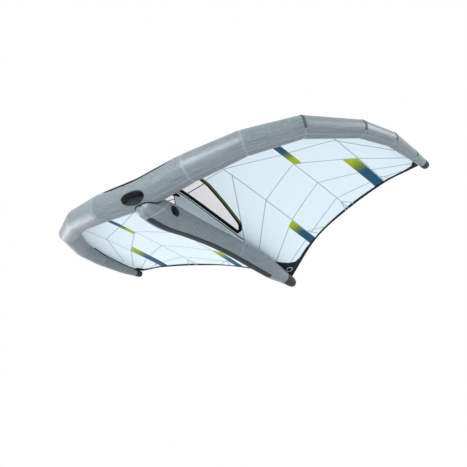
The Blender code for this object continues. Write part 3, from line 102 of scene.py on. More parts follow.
class Run(Enum):
    """Order of the two printed colours of a stripe, from the front to the back."""

    BLUE_TO_LIME = "blue_to_lime"
    LIME_TO_BLUE = "lime_to_blue"


def linear_colour(text: str) -> tuple[float, float, float, float]:
    """Turn sRGB hex text into a linear colour.

    Args:
        text: six hex digits.

    Returns:
        Red, green, blue and full alpha in linear light.
    """
    channels = []
    for start in (0, 2, 4):
        value = int(text[start:start + 2], 16) / 255
        curved = ((value + SRGB_OFFSET) / (1.0 + SRGB_OFFSET)) ** SRGB_POWER
        channels.append(value / SRGB_SLOPE if value <= SRGB_KNEE else curved)
    return channels[0], channels[1], channels[2], 1.0


def add_node(tree: Tree, kind: str, settings: dict | None = None,
             links: dict | None = None, **traits: object) -> Node:
    """Add a node, set its sockets and join its inputs.

    Args:
        tree: node tree that gets the node.
        kind: type name of the node.
        settings: input values by socket name or number.
        links: output sockets of other nodes by input name or number.
        traits: properties of the node itself, such as an operation.

    Returns:
        The new node.
    """
    node = tree.nodes.new(kind)
    for name, value in traits.items():
        setattr(node, name, value)
    for socket, value in (settings or {}).items():
        node.inputs[socket].default_value = value
    for socket, source in (links or {}).items():
        tree.links.new(source, node.inputs[socket])
    return node


def calculate(tree: Tree, operation: str, *inputs: object) -> Socket:
    """Work out one step of arithmetic in a material.

    Args:
        tree: node tree to work in.
        operation: name of the operation.
        inputs: numbers or sockets, in the order that the operation takes them.

    Returns:
        The result.
    """
    numbers = {index: value for index, value in enumerate(inputs) if isinstance(value, (int, float))}
    sockets = {index: value for index, value in enumerate(inputs) if index not in numbers}
    return add_node(tree, "ShaderNodeMath", numbers, sockets, operation=operation).outputs[0]


def start_material(name: str, settings: dict) -> tuple[Material, Tree, Node]:
    """Make a material with its shader set.

    Args:
        name: name of the material.
        settings: values of the shader's own sockets.

    Returns:
        The material, its node tree and its shader node.
    """
    material = bpy.data.materials.new(name)
    material.use_nodes = True
    tree = material.node_tree
    shader = tree.nodes["Principled BSDF"]
    for socket, value in settings.items():
        shader.inputs[socket].default_value = value
    return material, tree, shader


def cloth_axes(tree: Tree, layer: str = PLACE) -> tuple[Socket, Node]:
    """Read the cloth coordinates, or the distances from seams, that a sewn piece carries, in metres.

    Args:
        tree: node tree to read them in.
        layer: name of the layer to read.

    Returns:
        The vector socket and a node with the three separate values.
    """
    place = add_node(tree, "ShaderNodeAttribute", attribute_name=layer).outputs["Vector"]
    return place, add_node(tree, "ShaderNodeSeparateXYZ", links={0: place})


def thread_rows(tree: Tree, axis: Socket, spacing: float) -> Socket:
    """Draw rounded rows along one axis.

    Args:
        tree: node tree to draw in.
        axis: coordinate across the rows, in metres.
        spacing: distance between rows.

    Returns:
        A value that swings once from -1 to 1 for each row.
    """
    return calculate(tree, "SINE", calculate(tree, "MULTIPLY", axis, FULL_TURN / spacing))


def woven_height(tree: Tree, axes: Node, spacing: float) -> Socket:
    """Height of a plain weave, where warp and weft pass over each other in turn.

    Args:
        tree: node tree to draw in.
        axes: node with the separate cloth coordinates.
        spacing: distance between threads.

    Returns:
        Height between -1 and 1.
    """
    warp = thread_rows(tree, axes.outputs[0], spacing)
    return calculate(tree, "MULTIPLY", warp, thread_rows(tree, axes.outputs[1], spacing))


def stretched_noise(tree: Tree, place: Socket, scale: tuple[float, float, float],
                    detail: float = 2.0) -> Socket:
    """Draw noise with its own scale on each cloth axis.

    Args:
        tree: node tree to draw in.
        place: vector of cloth coordinates in metres.
        scale: spots to a metre on each axis.
        detail: fineness of the noise.

    Returns:
        Noise between 0 and 1.
    """
    scaled = add_node(tree, "ShaderNodeVectorMath", {1: scale}, {0: place}, operation="MULTIPLY")
    noise = add_node(tree, "ShaderNodeTexNoise", {"Scale": 1.0, "Detail": detail},
                     {"Vector": scaled.outputs[0]})
    return noise.outputs["Fac"]


def near_value(tree: Tree, axis: Socket, centre: float,
               reach: float) -> Socket:
    """Mask the values that lie near one value.

    Args:
        tree: node tree to draw in.
        axis: value to test.
        centre: value at the middle of the mask.
        reach: half of the mask's width.

    Returns:
        1 inside the mask and 0 outside.
    """
    return calculate(tree, "COMPARE", axis, centre, reach)


def grid_lines(tree: Tree, axis: Socket, spacing: float, share: float) -> Socket:
    """Draw evenly spaced lines along one axis.

    Args:
        tree: node tree to draw in.
        axis: coordinate across the lines, in metres.
        spacing: distance between lines.
        share: half of a line's width, as a share of the spacing.

    Returns:
        1 on the lines and 0 between them.
    """
    steps = calculate(tree, "MULTIPLY", axis, 1.0 / spacing)
    return near_value(tree, calculate(tree, "FRACT", steps), 0.5, share)


def stitch_rows(tree: Tree, across: Socket, along: Socket,
                offset: float, pitch: float, width: float, thread_share: float = 0.72) -> Socket:
    """Draw two rows of stitches beside a seam.

    Args:
        tree: node tree to draw in.
        across: distance from the seam's middle.
        along: distance along the seam.
        offset: distance of each row from the seam's middle.
        pitch: length of a stitch with its gap.
        width: half width of the thread.
        thread_share: share of the pitch that the thread fills.

    Returns:
        1 on the thread and 0 elsewhere.
    """
    rows = near_value(tree, calculate(tree, "ABSOLUTE", across), offset, width)
    return calculate(tree, "MULTIPLY", rows, grid_lines(tree, along, pitch, thread_share / 2))


def mix_colours(tree: Tree, amount: Socket, first: object,
                second: object) -> Socket:
    """Mix two colours, each given as hex text or as a socket.

    Args:
        tree: node tree to mix in.
        amount: share of the second colour.
        first: colour where the share is 0.
        second: colour where the share is 1.

    Returns:
        The mixed colour.
    """
    settings = {}
    links = {0: amount}
    for socket, colour in ((6, first), (7, second)):
        if isinstance(colour, str):
            settings[socket] = linear_colour(colour)
        else:
            links[socket] = colour
    return add_node(tree, "ShaderNodeMix", settings, links, data_type="RGBA").outputs[2]


def stretched_value(tree: Tree, value: Socket, start: float, end: float,
                    low: float = 0.0, high: float = 1.0) -> Socket:
    """Stretch one range of a value onto another, and hold it at both ends.

    Args:
        tree: node tree to draw in.
        value: value to stretch.
        start: input that gives the low end.
        end: input that gives the high end.
        low: output at the start.
        high: output at the end.

    Returns:
        The stretched value.
    """
    return add_node(tree, "ShaderNodeMapRange", {1: start, 2: end, 3: low, 4: high}, {0: value}).outputs[0]


def add_relief(tree: Tree, shader: Node, layers: list[tuple]) -> None:
    """Stack bump layers under the shader's normal.

    Args:
        tree: node tree of the material.
        shader: shader that gets the relief.
        layers: height socket, depth in metres and strength of each layer.
    """
    below = None
    for height, depth, strength in layers:
        links = {"Height": height}
        if below is not None:
            links["Normal"] = below
        below = add_node(tree, "ShaderNodeBump", {"Strength": strength, "Distance": depth}, links).outputs[0]
    tree.links.new(below, shader.inputs["Normal"])


@dataclass(frozen=True)
class WovenPolyester:
    """Tightly woven polyester of the inflated tubes, drum-tight under pressure.

    Grey and white threads are mixed, so the eye sees a streaky grey with a dull sheen along the tube.
    """

    name: str = "woven_polyester_grey"
    dark_thread: str = "586369"
    light_thread: str = "75838b"
    fleck: str = "8d9ba3"
    stitch: str = "9aa8b0"
    # Threads are 0.4 mm apart; they are drawn 1.6 mm apart so that they show.
    thread_spacing: float = 1.6 * MM
    weave_depth: float = 0.12 * MM
    # Streaks are one thread wide and up to 150 mm long; they are drawn 4 mm wide so that they show.
    streaks: tuple[float, float, float] = (240.0, 7.0, 0.0)
    streak_limits: tuple[float, float] = (0.3, 0.7)
    # Flecks are single light threads, 0.4 mm wide; they are drawn 3 mm wide so that they show.
    flecks: tuple[float, float, float] = (320.0, 38.0, 0.0)
    fleck_limits: tuple[float, float] = (0.5, 0.75)
    fleck_share: float = 0.6
    weave_strength: float = 0.5
    seam_strength: float = 0.6
    stitch_strength: float = 0.5
    seam_offset: float = 4.5 * MM
    seam_reach: float = 9 * MM
    seam_depth: float = 0.6 * MM
    # Stitches are 3 mm long; they are drawn 7 mm long so that they show.
    stitch_pitch: float = 7 * MM
    stitch_width: float = 1.6 * MM
    roughness: float = 0.38
    ior: float = 1.62

    def build(self) -> Material:
        """Make the material."""
        material, tree, shader = start_material(self.name, {"Roughness": self.roughness, "IOR": self.ior})
        place, axes = cloth_axes(tree)
        _, seams = cloth_axes(tree, SEAMS)
        streak = stretched_value(tree, stretched_noise(tree, place, self.streaks), *self.streak_limits)
        cloth = mix_colours(tree, streak, self.dark_thread, self.light_thread)
        fleck = stretched_value(tree, stretched_noise(tree, place, self.flecks), *self.fleck_limits,
                                high=self.fleck_share)
        cloth = mix_colours(tree, fleck, cloth, self.fleck)
        along = stitch_rows(tree, seams.outputs[0], axes.outputs[1], self.seam_offset,
                            self.stitch_pitch, self.stitch_width)
        around = stitch_rows(tree, seams.outputs[1], axes.outputs[0], self.seam_offset,
                             self.stitch_pitch, self.stitch_width)
        thread = calculate(tree, "MAXIMUM", along, around)
        tree.links.new(mix_colours(tree, thread, cloth, self.stitch), shader.inputs["Base Color"])
        flat = near_value(tree, seams.outputs[0], 0.0, self.seam_reach)
        ring = near_value(tree, seams.outputs[1], 0.0, self.seam_reach)
        seam = calculate(tree, "MAXIMUM", flat, ring)
        weave = woven_height(tree, axes, self.thread_spacing)
        add_relief(tree, shader, [(weave, self.weave_depth, self.weave_strength),
                                  (seam, self.seam_depth, self.seam_strength),
                                  (thread, self.seam_depth, self.stitch_strength)])
        return material


@dataclass(frozen=True)
class RipstopCloth:
    """Thin coated ripstop polyester of the canopy and the web.

    Every few millimetres a thicker thread stands out, so the eye sees a fine raised grid on a pale film.
    """

    name: str = "canopy_ripstop"
    colour: str = "e7f6fe"
    grid_colour: str = "daedf8"
    # Thick threads are 5 mm apart; they are drawn 8 mm apart so that they show.
    grid_spacing: float = 8 * MM
    grid_width: float = 0.5 * MM
    grid_depth: float = 0.15 * MM
    wrinkles: tuple[float, float, float] = (9.0, 3.5, 0.0)
    wrinkle_depth: float = 5 * MM
    wrinkle_strength: float = 0.25
    grid_strength: float = 0.5
    roughness: float = 0.42
    ior: float = 1.5
    specular: float = 0.35
    ramp: tuple[tuple[float, str], ...] = ()
    ramp_start: float = 0.0
    ramp_end: float = METRE

    def build(self) -> Material:
        """Make the material."""
        material, tree, shader = start_material(self.name, {
            "Roughness": self.roughness, "IOR": self.ior, "Specular IOR Level": self.specular})
        place, axes = cloth_axes(tree)
        share = self.grid_width / self.grid_spacing
        lines = [grid_lines(tree, axes.outputs[axis], self.grid_spacing, share) for axis in range(2)]
        grid = calculate(tree, "MAXIMUM", *lines)
        colour = mix_colours(tree, grid, self.colour, self.grid_colour)
        if self.ramp:
            run = stretched_value(tree, axes.outputs[1], self.ramp_start, self.ramp_end)
            ramp = add_node(tree, "ShaderNodeValToRGB", links={0: run})
            stops = ramp.color_ramp.elements
            stops[1].position = 1.0
            for index, (position, text) in enumerate(self.ramp):
                stop = stops[index] if index < len(stops) else stops.new(position)
                stop.position = position
                stop.color = linear_colour(text)
            colour = ramp.outputs[0]
        tree.links.new(colour, shader.inputs["Base Color"])
        wrinkle = stretched_noise(tree, place, self.wrinkles)
        add_relief(tree, shader, [(wrinkle, self.wrinkle_depth, self.wrinkle_strength),
                                  (grid, self.grid_depth, self.grid_strength)])
        return material


@dataclass(frozen=True)
class PlainFinish:
    """Finish with one grain pattern: moulded rubber, plastic, coated webbing, film or metal.

    A fine grain breaks up the highlight, and slow noise shifts the colour a little from place to place.
    """

    name: str
    colour: str
    shade: str
    grain: float = 2 * MM
    grain_depth: float = 0.1 * MM
    grain_strength: float = 0.4
    shift_scale: float = 11.0
    roughness: float = 0.55
    roughness_swing: float = 0.1
    ior: float = 1.5
    metallic: float = 0.0
    transmission: float = 0.0
    specular: float = 0.5
    woven: bool = False

    def build(self) -> Material:
        """Make the material."""
        settings = {"Metallic": self.metallic, "Transmission Weight": self.transmission,
                    "Specular IOR Level": self.specular}
        if self.metallic == 0.0:
            settings["IOR"] = self.ior
        material, tree, shader = start_material(self.name, settings)
        if self.woven:
            place, axes = cloth_axes(tree)
            height = woven_height(tree, axes, self.grain)
        else:
            place = add_node(tree, "ShaderNodeTexCoord").outputs["Object"]
            height = stretched_noise(tree, place, (1.0 / self.grain,) * 3)
        slow = stretched_noise(tree, place, (self.shift_scale,) * 3)
        tree.links.new(mix_colours(tree, slow, self.colour, self.shade), shader.inputs["Base Color"])
        rough = stretched_value(tree, slow, 0.0, 1.0, self.roughness - self.roughness_swing,
                                self.roughness + self.roughness_swing)
        tree.links.new(rough, shader.inputs["Roughness"])
        add_relief(tree, shader, [(height, self.grain_depth, self.grain_strength)])
        return material


STRIPE_BLUE = "104e70"
STRIPE_LIME = "a4b50f"
STRIPE_OLIVE = "668536"
# Where each printed colour lies, in shares of a stripe's colour run.
STOP_SHARES = {
    Run.LIME_TO_BLUE: ((0.0, STRIPE_LIME), (0.12, STRIPE_LIME), (0.33, STRIPE_OLIVE), (0.5, STRIPE_BLUE)),
    Run.BLUE_TO_LIME: ((0.0, STRIPE_BLUE), (0.33, STRIPE_BLUE), (0.52, STRIPE_OLIVE), (0.72, STRIPE_LIME)),
}
STRIPE_SPECULAR = 0.15

FINISHES = {
    "casing": WovenPolyester(),
    "canopy": RipstopCloth(),
    "web": RipstopCloth("web_ripstop", "d6e4ec", "cbdae3"),
    "film": PlainFinish("window_film", "eeeff1", "e4e5e7", roughness=0.12, roughness_swing=0.04,
                        transmission=0.9, ior=1.45),
    "binding": PlainFinish("black_binding", "080a0c", "0f1315", roughness=0.6, woven=True, specular=0.12),
    "neoprene": PlainFinish("padded_neoprene", "090c0e", "101416", roughness=0.65, woven=True, specular=0.1),
    "patch": PlainFinish("dark_patch", "141a1e", "1c2327", roughness=0.55, woven=True, specular=0.15),
    "scuff": PlainFinish("scuff_webbing", "3c464b", "485359", roughness=0.5, woven=True, specular=0.3),
    "keel": PlainFinish("keel_webbing", "222a2e", "2e363b", roughness=0.5, woven=True, specular=0.18),
    "rubber": PlainFinish("moulded_rubber", "232b2f", "2c3438", roughness=0.5, specular=0.25),
    "plastic": PlainFinish("valve_plastic", "06080a", "0d1012", roughness=0.45, specular=0.15),
    "steel": PlainFinish("spring_steel", "b8bcc0", "a9aeb3", roughness=0.28, metallic=1.0),
    "eyelet": PlainFinish("eyelet_metal", "23282b", "2e3437", roughness=0.4, metallic=1.0),
    "collar": PlainFinish("eyelet_collar", "c3d0d8", "b4c2ca", roughness=0.5, specular=0.3),
    "bladder": PlainFinish("bladder_film", "c9d4d8", "bccad0", roughness=0.3, ior=1.45),
    "hose": PlainFinish("hose_silicone", "4a5256", "555e63", roughness=0.45, ior=1.41),
    "seam": PlainFinish("canopy_seam", "a3b5bf", "adbec8", roughness=0.5, woven=True, specular=0.3),
    "lime": PlainFinish("lime_tape", "5c7a1c", "668722", roughness=0.5, woven=True, specular=0.3),
}


class Wardrobe:
    """Every finish of the wing, made once."""

    def __init__(self) -> None:
        self.made: dict[str, Material] = {}

    def get(self, name: str) -> Material:
        """Return the finish of that name, made on first use."""
        if name not in self.made:
            self.made[name] = FINISHES[name].build()
        return self.made[name]

    def stripe(self, name: str, run: Run, start: float, end: float) -> Material:
        """Make the printed cloth of one stripe.

        Args:
            name: name of the stripe.
            run: order of its colours.
            start: setback of its front end.
            end: setback of its rear end.

        Returns:
            The stripe's material.
        """
        return RipstopCloth(name, specular=STRIPE_SPECULAR, ramp=STOP_SHARES[run], ramp_start=start,
                            ramp_end=end).build()


def smooth_between(start: float, end: float, rise_start: float, rise_end: float, part: float) -> float:
    """Read a cubic curve between two values with given rises.

    Args:
        start: value at the start.
        end: value at the end.
        rise_start: rise at the start, over the whole run.
        rise_end: rise at the end, over the whole run.
        part: share of the way from the start.

    Returns:
        The value there.
    """
    square = part * part
    cube = square * part
    return (start * (2 * cube - 3 * square + 1) + rise_start * (cube - 2 * square + part)
            + end * (3 * square - 2 * cube) + rise_end * (cube - square))


def cubic_at(values: tuple[float, ...], position: float) -> float:
    """Read a row of values at a whole or part step along a smooth cubic curve.

    Args:
        values: values at whole steps.
        position: step to read, whole or part.

    Returns:
        The value there.
    """
    last = len(values) - 1
    index = min(int(position), last - 1)
    part = position - index
    before = values[max(index - 1, 0)]
    start = values[index]
    end = values[index + 1]
    after = values[min(index + 2, last)]
    rise_start = end - start if index == 0 else (end - before) / 2
    rise_end = end - start if index == last - 1 else (after - start) / 2
    return smooth_between(start, end, rise_start, rise_end, part)


def mark_cloth(mesh: Mesh, places: np.ndarray, layer: str = PLACE) -> None:
    """Store a vector for each point of a mesh.

    Args:
        mesh: mesh to mark.
        places: one vector for each point.
        layer: name of the layer.
    """
    store = mesh.attributes.new(layer, "FLOAT_VECTOR", "POINT")
    store.data.foreach_set("vector", np.ascontiguousarray(places, dtype=np.float32).ravel())


def both_halves(right: np.ndarray) -> np.ndarray:
    """Join the mirrored left half and the right half into one grid from tip to tip."""
    return np.concatenate((right[:0:-1] * np.array((-1.0, 1.0, 1.0)), right))


def on_side(grid: np.ndarray, side: Side) -> np.ndarray:
    """Put a grid of the right half on one half of the wing."""
    return grid * np.array((side.value, 1.0, 1.0))


def grid_faces(rows: int, columns: int) -> list[list[int]]:
    """Corner numbers of each face of a grid of points."""
    index = np.arange(rows * columns).reshape(rows, columns)
    faces = np.stack((index[:-1, :-1], index[:-1, 1:], index[1:, 1:], index[1:, :-1]), axis=-1)
    return faces.reshape(-1, 4).tolist()


@contextmanager
def opened(mesh: Mesh) -> Iterator[OpenMesh]:
    """Open a mesh for editing, and store it afterwards."""
    work = bmesh.new()
    work.from_mesh(mesh)
    yield work
    work.to_mesh(mesh)
    work.free()


def with_edges(faces: list[Face]) -> list:
    """Faces, their edges and their corners, each once, as a cut needs them."""
    edges = dict.fromkeys(edge for face in faces for edge in face.edges)
    verts = dict.fromkeys(vert for face in faces for vert in face.verts)
    return faces + list(edges) + list(verts)


def cloth_mesh(name: str, points: np.ndarray, places: np.ndarray) -> Mesh:
    """Make a smooth grid mesh that carries its cloth coordinates.

    Args:
        name: name of the mesh.
        points: rows by columns of points in the wing's frame.
        places: cloth coordinates of the same points.

    Returns:
        The mesh, in the world's frame.
    """
    mesh = bpy.data.meshes.new(name)
    mesh.from_pydata((points.reshape(-1, 3) + WING_SHIFT).tolist(), [], grid_faces(*points.shape[:2]))
    mark_cloth(mesh, places)
    mesh.shade_smooth()
    return mesh


def ring_mesh(name: str, rings: np.ndarray, places: np.ndarray, closed: tuple[bool, bool]) -> Mesh:
    """Make a smooth mesh from closed rings of points.

    Args:
        name: name of the mesh.
        rings: rings by points around, in the wing's frame.
        places: cloth coordinates of the same points.
        closed: whether the first and the last ring are filled.

    Returns:
        The mesh, in the world's frame.
    """
    rows, columns = rings.shape[:2]
    index = np.arange(rows * columns).reshape(rows, columns)
    after = np.roll(index, -1, axis=1)
    faces = np.stack((index[:-1], after[:-1], after[1:], index[1:]), axis=-1).reshape(-1, 4).tolist()
    if closed[0]:
        faces.append(index[0, ::-1].tolist())
    if closed[1]:
        faces.append(index[-1].tolist())
    mesh = bpy.data.meshes.new(name)
    mesh.from_pydata((rings.reshape(-1, 3) + WING_SHIFT).tolist(), [], faces)
    mark_cloth(mesh, places)
    mesh.shade_smooth()
    return mesh


def thicken(piece: Piece, thickness: float) -> None:
    """Give a sheet its real thickness, half to each side.

    Args:
        piece: sheet to thicken.
        thickness: thickness of the finished sheet.
    """
    solid = piece.modifiers.new("thickness", "SOLIDIFY")
    solid.thickness = thickness
    solid.offset = 0.0


def open_flank(mesh: Mesh, centre: tuple[float, float], radius: float, sides: int = 24) -> None:
    """Cut a round opening into the right flank of a tube.

    Args:
        mesh: mesh of the tube, in the world's frame.
        centre: setback and height of the opening's middle, in the wing's frame.
        radius: radius of the opening.
        sides: straight cuts that make up its edge.
    """
    middle = Vector((0.0, centre[0] + WING_SHIFT[1], centre[1] + WING_SHIFT[2]))
    turns = [FULL_TURN * side / sides for side in range(sides)]
    normals = [Vector((0.0, math.cos(turn), math.sin(turn))) for turn in turns]

    def near(face: Face) -> bool:
        """Whether a face of the right flank comes near the opening."""
        return any(vert.co.x > 0.0 and (vert.co - middle).yz.length < 2 * radius for vert in face.verts)

    with opened(mesh) as work:
        for normal in normals:
            parts = with_edges([face for face in work.faces if near(face)])
            bmesh.ops.bisect_plane(work, geom=parts, plane_co=middle + normal * radius, plane_no=normal)
        inside = [face for face in work.faces if near(face)
                  and all((face.calc_center_median() - middle).dot(normal) < radius for normal in normals)]
        bmesh.ops.delete(work, geom=inside, context="FACES")


def end_taper(distance: float, length: float, least_share: float = 0.02) -> float:
    """Share of the full width near a rounded end.

    Args:
        distance: distance from the end.
        length: length of the rounding.
        least_share: least share of that length to count, so that no end closes to a point.

    Returns:
        Share from almost 0 at the end to 1.
    """
    left = 1.0 - min(max(distance / length, least_share), 1.0)
    return math.sqrt(1.0 - left * left)


def add_piece(name: str, mesh: Mesh, material: Material,
              nodes: tuple[str, ...] = (), body: str = WING) -> Piece:
    """Link a mesh as one piece of the wing.

    Args:
        name: name of the piece.
        mesh: its mesh, in the world's frame.
        material: its first material.
        nodes: solids that it stands for.
        body: body that it rides on.

    Returns:
        The new object.
    """
    piece = bpy.data.objects.new(name, mesh)
    bpy.context.scene.collection.objects.link(piece)
    mesh.materials.append(material)
    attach(piece, body)
    if nodes:
        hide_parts(*nodes)
    LOG.info("made %s with %d faces", name, len(mesh.polygons))
    return piece


@dataclass
class TubeShape:
    """Right half of the leading edge: straight cloth panels between mitred seams."""

    tip_reach: float = 1518 * MM
    sweep_depth: float = 1539 * MM
    tip_rise: float = 271 * MM
    radius: float = 111 * MM
    setback: float = 124 * MM
    height: float = 79 * MM
    reach_shares: tuple[float, ...] = (0.0, 0.278, 0.535, 0.758, 0.924, 0.984, 1.0, 1.0)
    sweep_shares: tuple[float, ...] = (0.0, 0.002, 0.069, 0.204, 0.445, 0.640, 0.847, 1.0)
    rise_shares: tuple[float, ...] = (0.0, 0.130, 0.397, 0.675, 0.865, 0.934, 0.943, 1.0)
    radius_shares: tuple[float, ...] = (1.0, 0.932, 0.814, 0.707, 0.568, 0.475, 0.354, 0.268)
    swell: float = 1.2 * MM
    pinch: float = 1.4 * MM
    pinch_reach: float = 9 * MM
    crease: float = 1.6 * MM
    crease_spacing: float = 34 * MM
    crease_reach: float = 55 * MM
    centres: np.ndarray = field(init=False)
    radii: np.ndarray = field(init=False)
    directions: np.ndarray = field(init=False)
    lifts: np.ndarray = field(init=False)
    backs: np.ndarray = field(init=False)
    mitres: np.ndarray = field(init=False)

    def __post_init__(self) -> None:
        """Work out the joints, the panel directions and the frame around each panel."""
        self.centres = np.stack((self.tip_reach * np.array(self.reach_shares),
                                 self.setback + self.sweep_depth * np.array(self.sweep_shares),
                                 self.height + self.tip_rise * np.array(self.rise_shares)), axis=1)
        self.radii = self.radius * np.array(self.radius_shares)
        runs = self.centres[1:] - self.centres[:-1]
        self.directions = runs / np.linalg.norm(runs, axis=1)[:, None]
        up = np.array((0.0, 0.0, 1.0))
        lift = up - self.directions[0] * (up @ self.directions[0])
        lifts = [Vector(lift).normalized()]
        for before, after in zip(self.directions[:-1], self.directions[1:]):
            lifts.append(Vector(before).rotation_difference(Vector(after)) @ lifts[-1])
        self.lifts = np.array([tuple(lift) for lift in lifts])
        self.backs = np.cross(self.lifts, self.directions)
        mitres = [np.array((1.0, 0.0, 0.0))]
        for before, after in zip(self.directions[:-1], self.directions[1:]):
            mitres.append((before + after) / np.linalg.norm(before + after))
        self.mitres = np.array(mitres + [self.directions[-1]])

    @property
    def panels(self) -> int:
        """Number of panels from the middle plane to the tip."""
        return len(self.directions)

    def locate(self, position: float) -> tuple[int, float]:
        """Panel number and the share of the way along it."""
        panel = min(int(position), self.panels - 1)
        return panel, position - panel

    def length(self, panel: int) -> float:
        """Length of one panel along its axis."""
        return float(np.linalg.norm(self.centres[panel + 1] - self.centres[panel]))

    def ring(self, position: float, angles: np.ndarray, grow: np.ndarray | float = 0.0) -> np.ndarray:
        """Points around the tube, part of the way along a panel.

        Args:
            position: panel number plus the share of the way along it.
            angles: angles around the tube; zero is up and a quarter turn is aft.
            grow: added to the radius.

        Returns:
            One point for each angle.
        """
        panel, share = self.locate(position)
        spokes = np.cos(angles)[:, None] * self.lifts[panel] + np.sin(angles)[:, None] * self.backs[panel]
        ends = []
        for joint in (panel, panel + 1):
            direction = self.directions[panel]
            slide = (spokes @ self.mitres[joint]) / (direction @ self.mitres[joint])
            reach = np.broadcast_to(self.radii[joint] + grow, angles.shape)
            ends.append(self.centres[joint] + (spokes - slide[:, None] * direction) * reach[:, None])
        return ends[0] * (1.0 - share) + ends[1] * share

    def relief(self, position: float, angles: np.ndarray) -> np.ndarray:
        """How far the pressed cloth swells between seams, is drawn in at them and creases on the inner side.

        Args:
            position: panel number plus the share of the way along it.
            angles: angles around the tube.

        Returns:
            Height over the straight panel for each angle.
        """
        panel, share = self.locate(position)
        length = self.length(panel)
        height = np.full(angles.shape, self.swell)
        for joint, away in ((panel, share * length), (panel + 1, (1.0 - share) * length)):
            if joint in (0, self.panels):
                continue
            turn = math.acos(min(float(self.directions[joint - 1] @ self.directions[joint]), 1.0))
            height -= (self.pinch + self.swell) * math.exp(-(away / self.pinch_reach) ** 2)
            inner = np.maximum(np.cos(angles - FULL_TURN / 4), 0.0) ** 2
            fade = math.exp(-(away / self.crease_reach) ** 2)
            wave = math.cos(FULL_TURN * away / self.crease_spacing) * fade
            height -= inner * self.crease * turn * wave
        return height

    def sections(self, spacing: float) -> list[float]:
        """Positions of the rings along the tube, spaced evenly in each panel.

        Args:
            spacing: greatest distance between rings.

        Returns:
            Positions from the middle plane to the tip.
        """
        positions = []
        for panel in range(self.panels):
            steps = math.ceil(self.length(panel) / spacing)
            positions.extend(panel + step / steps for step in range(steps))
        return positions + [float(self.panels)]

    def radius_at(self, position: float) -> float:
        """Radius part of the way along a panel."""
        panel, share = self.locate(position)
        return float(self.radii[panel] + (self.radii[panel + 1] - self.radii[panel]) * share)

    def travelled(self, position: float) -> tuple[float, float]:
        """Distance from the middle plane, and distance from the nearest ring seam.

        Args:
            position: panel number plus the share of the way along it.

        Returns:
            Both distances along the tube.
        """
        panel, share = self.locate(position)
        length = self.length(panel)
        along = sum(self.length(index) for index in range(panel)) + share * length
        before = share * length if panel > 0 else METRE
        after = (1.0 - share) * length if panel < self.panels - 1 else METRE
        return along, min(before, after)


@dataclass
class StrutShape:
    """Side profile of the strut, smooth from the nose to the tail."""

    front: float = 88 * MM
    length: float = 1812 * MM
    radius: float = 105 * MM
    drop: float = 72 * MM
    station_shares: tuple[float, ...] = (0.0, 0.005, 0.014, 0.028, 0.049, 0.079, 0.145, 0.283, 0.448, 0.614,
                                         0.779, 0.917, 1.0)
    radius_shares: tuple[float, ...] = (0.14, 0.45, 0.67, 0.78, 0.87, 0.955, 1.0, 0.857, 0.752, 0.752, 0.762,
                                        0.686, 0.514)
    drop_shares: tuple[float, ...] = (0.25, 0.24, 0.24, 0.25, 0.245, 0.225, 0.24, 0.139, 0.083, 0.194, 0.486,
                                      0.778, 0.917)
    setbacks: np.ndarray = field(init=False)
    radii: np.ndarray = field(init=False)
    heights: np.ndarray = field(init=False)

    def __post_init__(self) -> None:
        """Work out the stations."""
        self.setbacks = self.front + self.length * np.array(self.station_shares)
        self.radii = self.radius * np.array(self.radius_shares)
        self.heights = -self.drop * np.array(self.drop_shares)

    def read(self, row: np.ndarray, setback: float) -> float:
        """Read a row at any setback along a smooth curve through the stations.

        Args:
            row: values at the stations.
            setback: distance aft.

        Returns:
            The value there.
        """
        stations = self.setbacks
        setback = min(max(setback, stations[0]), stations[-1])
        index = min(int(np.searchsorted(stations, setback, side="right")) - 1, len(stations) - 2)
        slopes = np.diff(row) / np.diff(stations)
        before = slopes[max(index - 1, 0)]
        here = slopes[index]
        after = slopes[min(index + 1, len(slopes) - 1)]
        run = stations[index + 1] - stations[index]
        part = (setback - stations[index]) / run
        return float(smooth_between(row[index], row[index + 1], run * (before + here) / 2,
                                    run * (here + after) / 2, part))

    def point(self, setback: float, angle: float, grow: float = 0.0) -> np.ndarray:
        """Point around the strut: zero is up and a quarter turn is to the right.

        Args:
            setback: distance aft.
            angle: angle around the strut.
            grow: added to the radius.

        Returns:
            The point.
        """
        radius = self.read(self.radii, setback) + grow
        height = self.read(self.heights, setback)
        return np.array((radius * math.sin(angle), setback, height + radius * math.cos(angle)))


